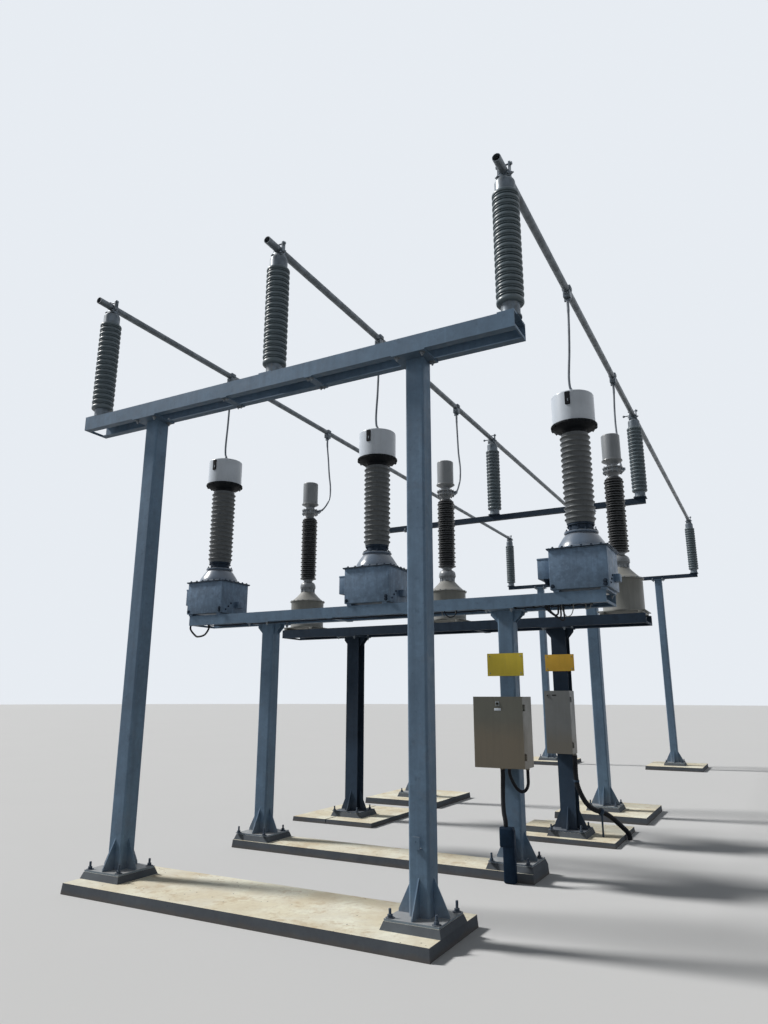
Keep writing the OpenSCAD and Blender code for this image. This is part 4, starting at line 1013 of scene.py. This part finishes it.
# How far each of its points moves sideways on the outer phases
CVT_BOW = (0, 0, 0.022, 0.040, 0.060, 0.070, 0.050, 0.020, 0)
CABLE_B = ((1.580, 1.995, 1.043), (1.580, 1.995, 0.980), (1.579, 1.988, 0.890), (1.581, 1.972, 0.770),
           (1.594, 1.942, 0.650), (1.616, 1.916, 0.570), (1.620, 1.912, 0.540), (1.620, 1.912, 0.510))
CABLE_LOOP = ((1.633, 2.055, 1.043), (1.633, 2.055, 1.000), (1.650, 2.055, 0.950),
              (1.680, 2.055, 0.893), (1.718, 2.055, 0.848), (1.760, 2.055, 0.830),
              (1.800, 2.055, 0.852), (1.824, 2.055, 0.905), (1.826, 2.055, 0.985), (1.826, 2.055, 1.043))
HOSE = ((1.768, 4.230, 1.038), (1.768, 4.230, 0.950), (1.765, 4.231, 0.840), (1.768, 4.240, 0.728),
        (1.787, 4.256, 0.632), (1.815, 4.282, 0.548), (1.853, 4.312, 0.470), (1.903, 4.350, 0.409),
        (1.952, 4.400, 0.373), (2.002, 4.450, 0.353), (2.051, 4.500, 0.326), (2.110, 4.560, 0.275),
        (2.168, 4.620, 0.210), (2.222, 4.690, 0.140), (2.264, 4.750, 0.076), (2.274, 4.764, 0.030),
        (2.274, 4.764, 0.0))
HOOK_STEM = ((2.013, 4.441, 0.300), (2.020, 4.432, 0.335), (2.024, 4.424, 0.372), (2.016, 4.426, 0.398))
# Points of the hose at its clip on the post and at its hook
CLIP_POINT = 3
HOOK_POINT = 9


def dropper_pieces(hardware):
    """Flexible droppers with a pressed ferrule at each end."""
    thin, thick, ferrule, taper = hardware.wire / 2, 0.0165, 0.13, 0.012

    def swelling(share):
        past = min(share, 1 - share) - ferrule
        return thick if past < 0 else max(thin, thick - past / taper * (thick - thin))

    for bend, phase in zip((1, 0, -1), PHASES):
        wire = Shape()
        bowed = [(x + bend * bow, y, z) for (x, y, z), bow in zip(CVT_DROPPER, CVT_BOW)]
        for points, row in ((VT_DROPPER, VT_ROW), (bowed, CVT_ROW)):
            wire.origin = Vector((PHASE_X[phase], ORIGIN.y + row, 0))
            wire.pipe(smooth_route(points, 12), swelling, 16)
        wire.piece(f"dropper_wires_{phase}", "wire_aluminium", stands_for=[f"droppers_{phase}"])


def cable_piece():
    """The cable into the ground sleeve and the loop beside it, under the larger control box."""
    cables = Shape(ORIGIN)
    cables.pipe(smooth_route(CABLE_B, 6), 0.0225, 18)
    cables.pipe(smooth_route(CABLE_LOOP, 6), 0.016, 16)
    cables.piece("cables_b_jackets", "black_cable", stands_for=["cables_b"])


def hose_piece():
    """The ribbed hose from the smaller control box to the ground."""
    middle_radius, rib, pitch = 0.0305, 0.0015, 0.022
    hose = Shape(ORIGIN)
    route = smooth_route(HOSE, 20)
    count = len(route) - 1
    run = [0.0]
    for a, b in zip(route, route[1:]):
        run.append(run[-1] + (b - a).length)

    def ribbed(share):
        return middle_radius + rib * math.sin(run[round(share * count)] * math.tau / pitch)

    hose.pipe(route, ribbed, 20)
    for vert in hose.mesh.verts:
        vert.co.z = max(vert.co.z, 0.0)
    hose.piece("hose_c_jacket", "black_cable", stands_for=["hose_c"])


def sleeve_piece():
    """The ground sleeve with its wider socket, and the collar round the cable."""
    low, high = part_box("cable_sleeve")
    sleeve = Shape()
    sleeve.block((high.x - 0.120, low.y + 0.003, low.z), (high.x, high.y - 0.003, high.z - 0.020), 0.018,
                 segments=4)
    sleeve.block((low.x, low.y, high.z - 0.187), (low.x + 0.142, high.y, high.z - 0.003), 0.016, segments=4)
    sleeve.block((low.x + 0.004, low.y + 0.004, high.z - 0.010), (low.x + 0.138, high.y - 0.004, high.z),
                 0.004)
    sleeve.origin = ORIGIN + Vector((*CABLE_B[-1][:2], high.z - 0.014))
    sleeve.lathe([(0.033, 0), (0.033, 0.006), (0.030, 0.012), (0.024, 0.014)], sides=24)
    sleeve.piece("sleeve_body", "sleeve_plastic", stands_for=["cable_sleeve"])


def peg_pieces():
    """The peg beside the hose, and the hook and clip that hold the hose."""
    node = "hose_stake"
    height = extent(node).z
    foot = (middle(node).x, middle(node).y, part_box(node)[0].z)
    turned("peg", "weathered", foot, [(0, 0), (0.012, 0), (0.012, height - 0.010), (0.009, height - 0.002),
                                      (0, height)], 20, stands_for=[node])

    # The hook bends nearly all the way round the hose
    hook, full_bend = Shape(ORIGIN), 349.2
    clip, before, held, after = (
        Vector(HOSE[k]) for k in (CLIP_POINT, HOOK_POINT - 1, HOOK_POINT, HOOK_POINT + 1))
    ahead = (after - before).normalized()
    bend = arc(0, 0, 0.040, 0.040, 0, full_bend, 24)
    hook.pipe([stood(held, ahead) @ Vector((x, y, 0)) for x, y in bend], 0.008, 10)
    hook.pipe([Vector(point) for point in HOOK_STEM], 0.007, 10)
    for place, axis, outer, half in ((held, ahead, 0.038, 0.022), (clip, Z_AXIS, 0.036, 0.012)):
        hook.lathe([(0.0325, -half), (outer, -half), (outer, half), (0.0325, half)], place, axis, 32,
                   closed=True)
    hook.slab(0.015, 0.004, clip.z - 0.012, clip.z + 0.012, 0.001, (clip.x - 0.045, clip.y))
    hook.piece("hose_hook", "weathered")


# Loops of wiring, from the origin: from, to, drop, lean, share of the wiring's radius, and its piece
WIRING = ((2.150, 2.290, 0.135, 0.05, 1.3, "dark"), (2.175, 2.320, 0.160, 0.06, 1.3, "dark"),
          (2.135, 2.265, 0.105, 0.04, 1.3, "dark"), (2.300, 2.420, 0.125, 0.0, 0.7, "pale"),
          (0.960, 1.120, 0.110, 0.03, 0.6, "pale"), (0.990, 1.130, 0.070, 0.0, 0.8, "dark"),
          (2.545, 2.600, 0.060, -0.02, 0.6, "pale"), (-2.750, -2.430, 0.150, 0.0, 1.8, "dark"))
# Its straight runs: from, to, and level under the beam's web
WIRING_RUNS = ((-2.45, 1.45, -0.012), (1.80, 2.60, -0.010))


def wiring_pieces(hardware):
    """Wiring that hangs in loops under the front channel of the wound transformers' beam."""
    radius = hardware.loop / 2
    under = Vector((ORIGIN.x, middle("beam_b").y - 0.225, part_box("beam_b")[0].z + 0.008))
    shapes = {"dark": Shape(under), "pale": Shape(under)}
    for x0, x1, drop, lean, share, tone in WIRING:
        span = x1 - x0
        spots = ((x0, 0.02), (x0 + 0.002, -0.35 * drop), (x0 + 0.3 * span + lean, -0.92 * drop),
                 (x0 + 0.5 * span + lean, -drop), (x1 - 0.2 * span + lean / 2, -0.85 * drop),
                 (x1 - 0.002, -0.35 * drop), (x1, 0.02))
        shapes[tone].pipe(smooth_route([(x, 0, z) for x, z in spots], 6), share * radius, 10)
    dark = shapes["dark"]
    for x0, x1, z in WIRING_RUNS:
        run = [Vector((x0 + (x1 - x0) * k / 12, 0.02, z - 0.006 * (k % 2))) for k in range(13)]
        dark.pipe(smooth_route(run, 4), radius, 10)
        for point in run[::3]:
            dark.slab(0.010, 0.014, -0.022, 0, 0.002, point.xy)
    dark.piece("wiring_dark", "black_cable")
    shapes["pale"].piece("wiring_pale", "beige_paint")


# For each box: drop of its latch under the door's top, half width of the latch plate, place of the tag
# from the latch, half sizes of the tag, and the tag's slot
BOX_DETAILS = {"b": (0.070, 0.021, (0.0, -0.058), (0.036, 0.012), "head_paint"),
               "c": (0.060, 0.016, (0.085, 0.004), (0.028, 0.007), "black_trim")}


def box_detail_pieces():
    """Latches, small blank tags and door gaskets of the control boxes."""
    hinge_room = 0.019
    for name, (drop, plate, (tag_x, tag_z), (half_w, half_h), tag_slot) in BOX_DETAILS.items():
        node = f"cabinet_{name}_door"
        low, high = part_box(node)
        x = (low.x + high.x - hinge_room) / 2 if name == "b" else low.x + 0.045
        place = (x, low.y + 0.009, high.z - drop)
        latch, keyhole, tag, edge = Shape(place), Shape(place), Shape(place), Shape()
        latch.block((-plate, -0.004, -plate), (plate, 0.001, plate), 0.0015)
        latch.piece(f"box_{name}_latch_plate", "bolt_zinc", body=node)
        keyhole.lathe([(0.0125, 0), (0.0125, 0.006), (0.0105, 0.009), (0, 0.009)], axis=-Y_AXIS, sides=28)
        keyhole.slab(0.0025, 0.0035, -0.009, 0.009, 0.001, (0, -0.0055))
        keyhole.piece(f"box_{name}_latch", "black_trim", body=node)
        tag.slab(half_w, 0.001, tag_z - half_h, tag_z + half_h, 0.0006, (tag_x, -0.0005))
        tag.piece(f"box_{name}_tag", tag_slot, body=node)
        inset, wide = 0.006, 0.006
        left, right = low.x + inset, high.x - hinge_room - inset
        bottom, top = low.z + inset, high.z - inset
        for x0, x1, z0, z1 in ((left, right, bottom, bottom + wide), (left, right, top - wide, top),
                               (left, left + wide, bottom, top), (right - wide, right, bottom, top)):
            edge.block((x0, high.y - 0.012, z0), (x1, high.y - 0.0035, z1), 0.001)
        edge.piece(f"box_{name}_gasket", "black_trim", body=node)


def sign_pieces():
    """Straps and screws that hold the sign plates on the posts."""
    for name in ("b", "c"):
        low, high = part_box(f"sign_{name}")
        screws = Shape()
        for z, strap_z in ((low.z + 0.03, low.z + 0.055), (high.z - 0.03, high.z - 0.055)):
            for x in (low.x + 0.03, high.x - 0.03):
                screws.lathe([(0.007, 0), (0.007, 0.002), (0.004, 0.004), (0, 0.0045)], (x, low.y, z),
                             -Y_AXIS, 14)
            screws.block((low.x + 0.07, high.y, strap_z - 0.01), (high.x - 0.07, high.y + 0.004,
                         strap_z + 0.01), 0.001)
        screws.piece(f"sign_{name}_fixings", "bolt_zinc")


# Stage

# The camera: its place from the origin, its turn, lift and roll in degrees, and its lens in millimetres
CAMERA_PLACE = Vector((4.1929, -5.4423, 1.7672))
CAMERA_TURN = 28.2755
CAMERA_LIFT = 14.4014
CAMERA_ROLL = 0.0952
CAMERA_LENS = 25.222
CAMERA_SENSOR = 36.0
CAMERA_REACH = 400.0
FLOOR_RADII = (40, 160)
FLOOR_DROP = 0.002
SUN_COLOUR = (1.0, 0.975, 0.94)
SUN_PLACE = Vector((-6, 0, 12))
SKY_COLOUR = (0.93, 0.97, 1.0)


def make_camera():
    data = bpy.data.cameras.new("camera")
    data.sensor_width = CAMERA_SENSOR
    data.lens = CAMERA_LENS
    data.clip_end = CAMERA_REACH
    camera = add_object("camera", data)
    turn, lift, roll = (Matrix.Rotation(math.radians(angle), 4, axis) for angle, axis in (
        (CAMERA_TURN, "Z"), (90 + CAMERA_LIFT, "X"), (CAMERA_ROLL, "Z")))
    camera.matrix_world = Matrix.Translation(ORIGIN + CAMERA_PLACE) @ turn @ lift @ roll
    bpy.context.scene.camera = camera


def make_sun(settings):
    data = bpy.data.lights.new("key", "SUN")
    data.energy = settings.key
    data.angle = settings.softness
    data.color = SUN_COLOUR
    side, height = settings.key_side, settings.key_height
    towards = Vector((-math.cos(height) * math.cos(side), -math.cos(height) * math.sin(side),
                      math.sin(height)))
    add_object("key", data).matrix_world = stood(SUN_PLACE, towards)


def seen_directly(tree):
    """One for rays that show a surface to the camera or in a reflection, nought for those that light it."""
    rays = tree.add("ShaderNodeLightPath").outputs
    mirrored = tree.maths("MAXIMUM", rays["Is Glossy Ray"], rays["Is Transmission Ray"])
    return tree.maths("MAXIMUM", rays["Is Camera Ray"], mirrored)


def make_floor(settings):
    """A plain pale floor that takes the shadow, and sends up less light than it shows."""
    finish = Finish("floor", settings.floor, rough=0.9)
    cloud = finish.noise(finish.place(), 0.4)
    pale = finish.mix(cloud, finish.tint(0.985), finish.tint(1.015))
    finish.painted = finish.mix(seen_directly(finish), settings.bounce, pale)
    floor = Shape((0, 0, -FLOOR_DROP))
    floor.lathe([(0, 0)] + [(radius, 0) for radius in FLOOR_RADII], sides=96)
    ground = floor.build("floor", finish.done())


def make_sky(settings):
    """A pale backdrop for the camera and reflections, and dimmer light from all round."""
    world = bpy.data.worlds.new("studio")
    world.use_nodes = True
    bpy.context.scene.world = world
    world.node_tree.nodes.clear()
    sky = Tree(world.node_tree)
    seen = seen_directly(sky)
    light = sky.add("ShaderNodeBackground", {"Color": SKY_COLOUR, "Strength": settings.fill})
    view = sky.add("ShaderNodeBackground", {"Color": settings.backdrop, "Strength": 1.0})
    both = sky.add("ShaderNodeMixShader", {0: seen, 1: light.outputs[0], 2: view.outputs[0]})
    sky.add("ShaderNodeOutputWorld", {0: both.outputs[0]})


# Operators


class BAY_OT_studio(bpy.types.Operator):
    """Sets up the camera, the soft light and the floor"""
    bl_idname = "bay.studio"
    bl_label = "Studio"

    def execute(self, context):
        context.scene.view_settings.view_transform = "Standard"
        make_camera()
        for make in (make_sun, make_floor, make_sky):
            make(context.scene.bay_studio)
        return {"FINISHED"}


class BAY_OT_finishes(bpy.types.Operator):
    """Makes the shared effects and every finish, and puts them on the frame's own pieces"""
    bl_idname = "bay.finishes"
    bl_label = "Finishes"

    def execute(self, context):
        for make in EFFECTS:
            make()
        make_finishes(context.scene.bay_colours)
        for name, node in frame["nodes"].items():
            for holder in node.material_slots:
                holder.material = FINISHES[NODE_SLOT[name]]
        return {"FINISHED"}


class BAY_OT_post_insulators(bpy.types.Operator):
    """Makes the porcelain, feet and caps on the three busbar supports"""
    bl_idname = "bay.post_insulators"
    bl_label = "Post insulators"

    def execute(self, context):
        for support in SUPPORTS:
            post_insulator_pieces(support, context.scene.bay_porcelain)
        return {"FINISHED"}


class BAY_OT_wound_transformers(bpy.types.Operator):
    """Makes the three wound voltage transformers"""
    bl_idname = "bay.wound_transformers"
    bl_label = "Wound transformers"

    def execute(self, context):
        for phase in PHASES:
            vt_pieces(phase, context.scene.bay_porcelain, context.scene.bay_hardware)
        return {"FINISHED"}


class BAY_OT_capacitor_transformers(bpy.types.Operator):
    """Makes the three capacitor voltage transformers"""
    bl_idname = "bay.capacitor_transformers"
    bl_label = "Capacitor transformers"

    def execute(self, context):
        for phase in PHASES:
            cvt_pieces(phase, context.scene.bay_porcelain)
        return {"FINISHED"}


class BAY_OT_fastenings(bpy.types.Operator):
    """Makes the busbars with their clamps, the anchor studs, beam bolts and sign fixings"""
    bl_idname = "bay.fastenings"
    bl_label = "Busbars and fastenings"

    def execute(self, context):
        anchor_pieces(context.scene.bay_hardware)
        beam_bolt_pieces(context.scene.bay_hardware)
        busbar_pieces()
        sign_pieces()
        return {"FINISHED"}


class BAY_OT_wires(bpy.types.Operator):
    """Makes the droppers, cables, hose and wiring"""
    bl_idname = "bay.wires"
    bl_label = "Wires"

    def execute(self, context):
        dropper_pieces(context.scene.bay_hardware)
        cable_piece()
        hose_piece()
        sleeve_piece()
        peg_pieces()
        wiring_pieces(context.scene.bay_hardware)
        return {"FINISHED"}


class BAY_OT_box_details(bpy.types.Operator):
    """Makes the latches, tags and gaskets of the control boxes"""
    bl_idname = "bay.box_details"
    bl_label = "Box details"

    def execute(self, context):
        box_detail_pieces()
        return {"FINISHED"}


OPERATORS = (BAY_OT_studio, BAY_OT_finishes, BAY_OT_post_insulators, BAY_OT_wound_transformers,
             BAY_OT_capacitor_transformers, BAY_OT_fastenings, BAY_OT_wires, BAY_OT_box_details)
SETTINGS = {"bay_colours": BayColours, "bay_porcelain": BayPorcelain, "bay_hardware": BayHardware,
            "bay_studio": BayStudio}


class BAY_PT_panel(bpy.types.Panel):
    """Lists the bay's steps and settings in the sidebar"""
    bl_label = "Switchgear bay"
    bl_idname = "BAY_PT_panel"
    bl_space_type = "VIEW_3D"
    bl_region_type = "UI"
    bl_category = "Bay"

    def draw(self, context):
        for operator in OPERATORS:
            self.layout.operator(operator.bl_idname)
        for name in SETTINGS:
            settings = getattr(context.scene, name)
            box = self.layout.box()
            for key in settings.__annotations__:
                box.prop(settings, key)


CLASSES = (*SETTINGS.values(), *OPERATORS, BAY_PT_panel)


def register():
    for kind in CLASSES:
        bpy.utils.register_class(kind)
    for name, group in SETTINGS.items():
        setattr(bpy.types.Scene, name, PointerProperty(type=group))


def unregister():
    for name in SETTINGS:
        delattr(bpy.types.Scene, name)
    for kind in reversed(CLASSES):
        bpy.utils.unregister_class(kind)


def main():
    register()
    for operator in OPERATORS:
        group, name = operator.bl_idname.split(".")
        getattr(getattr(bpy.ops, group), name)()


if __name__ == "__main__":
    main()
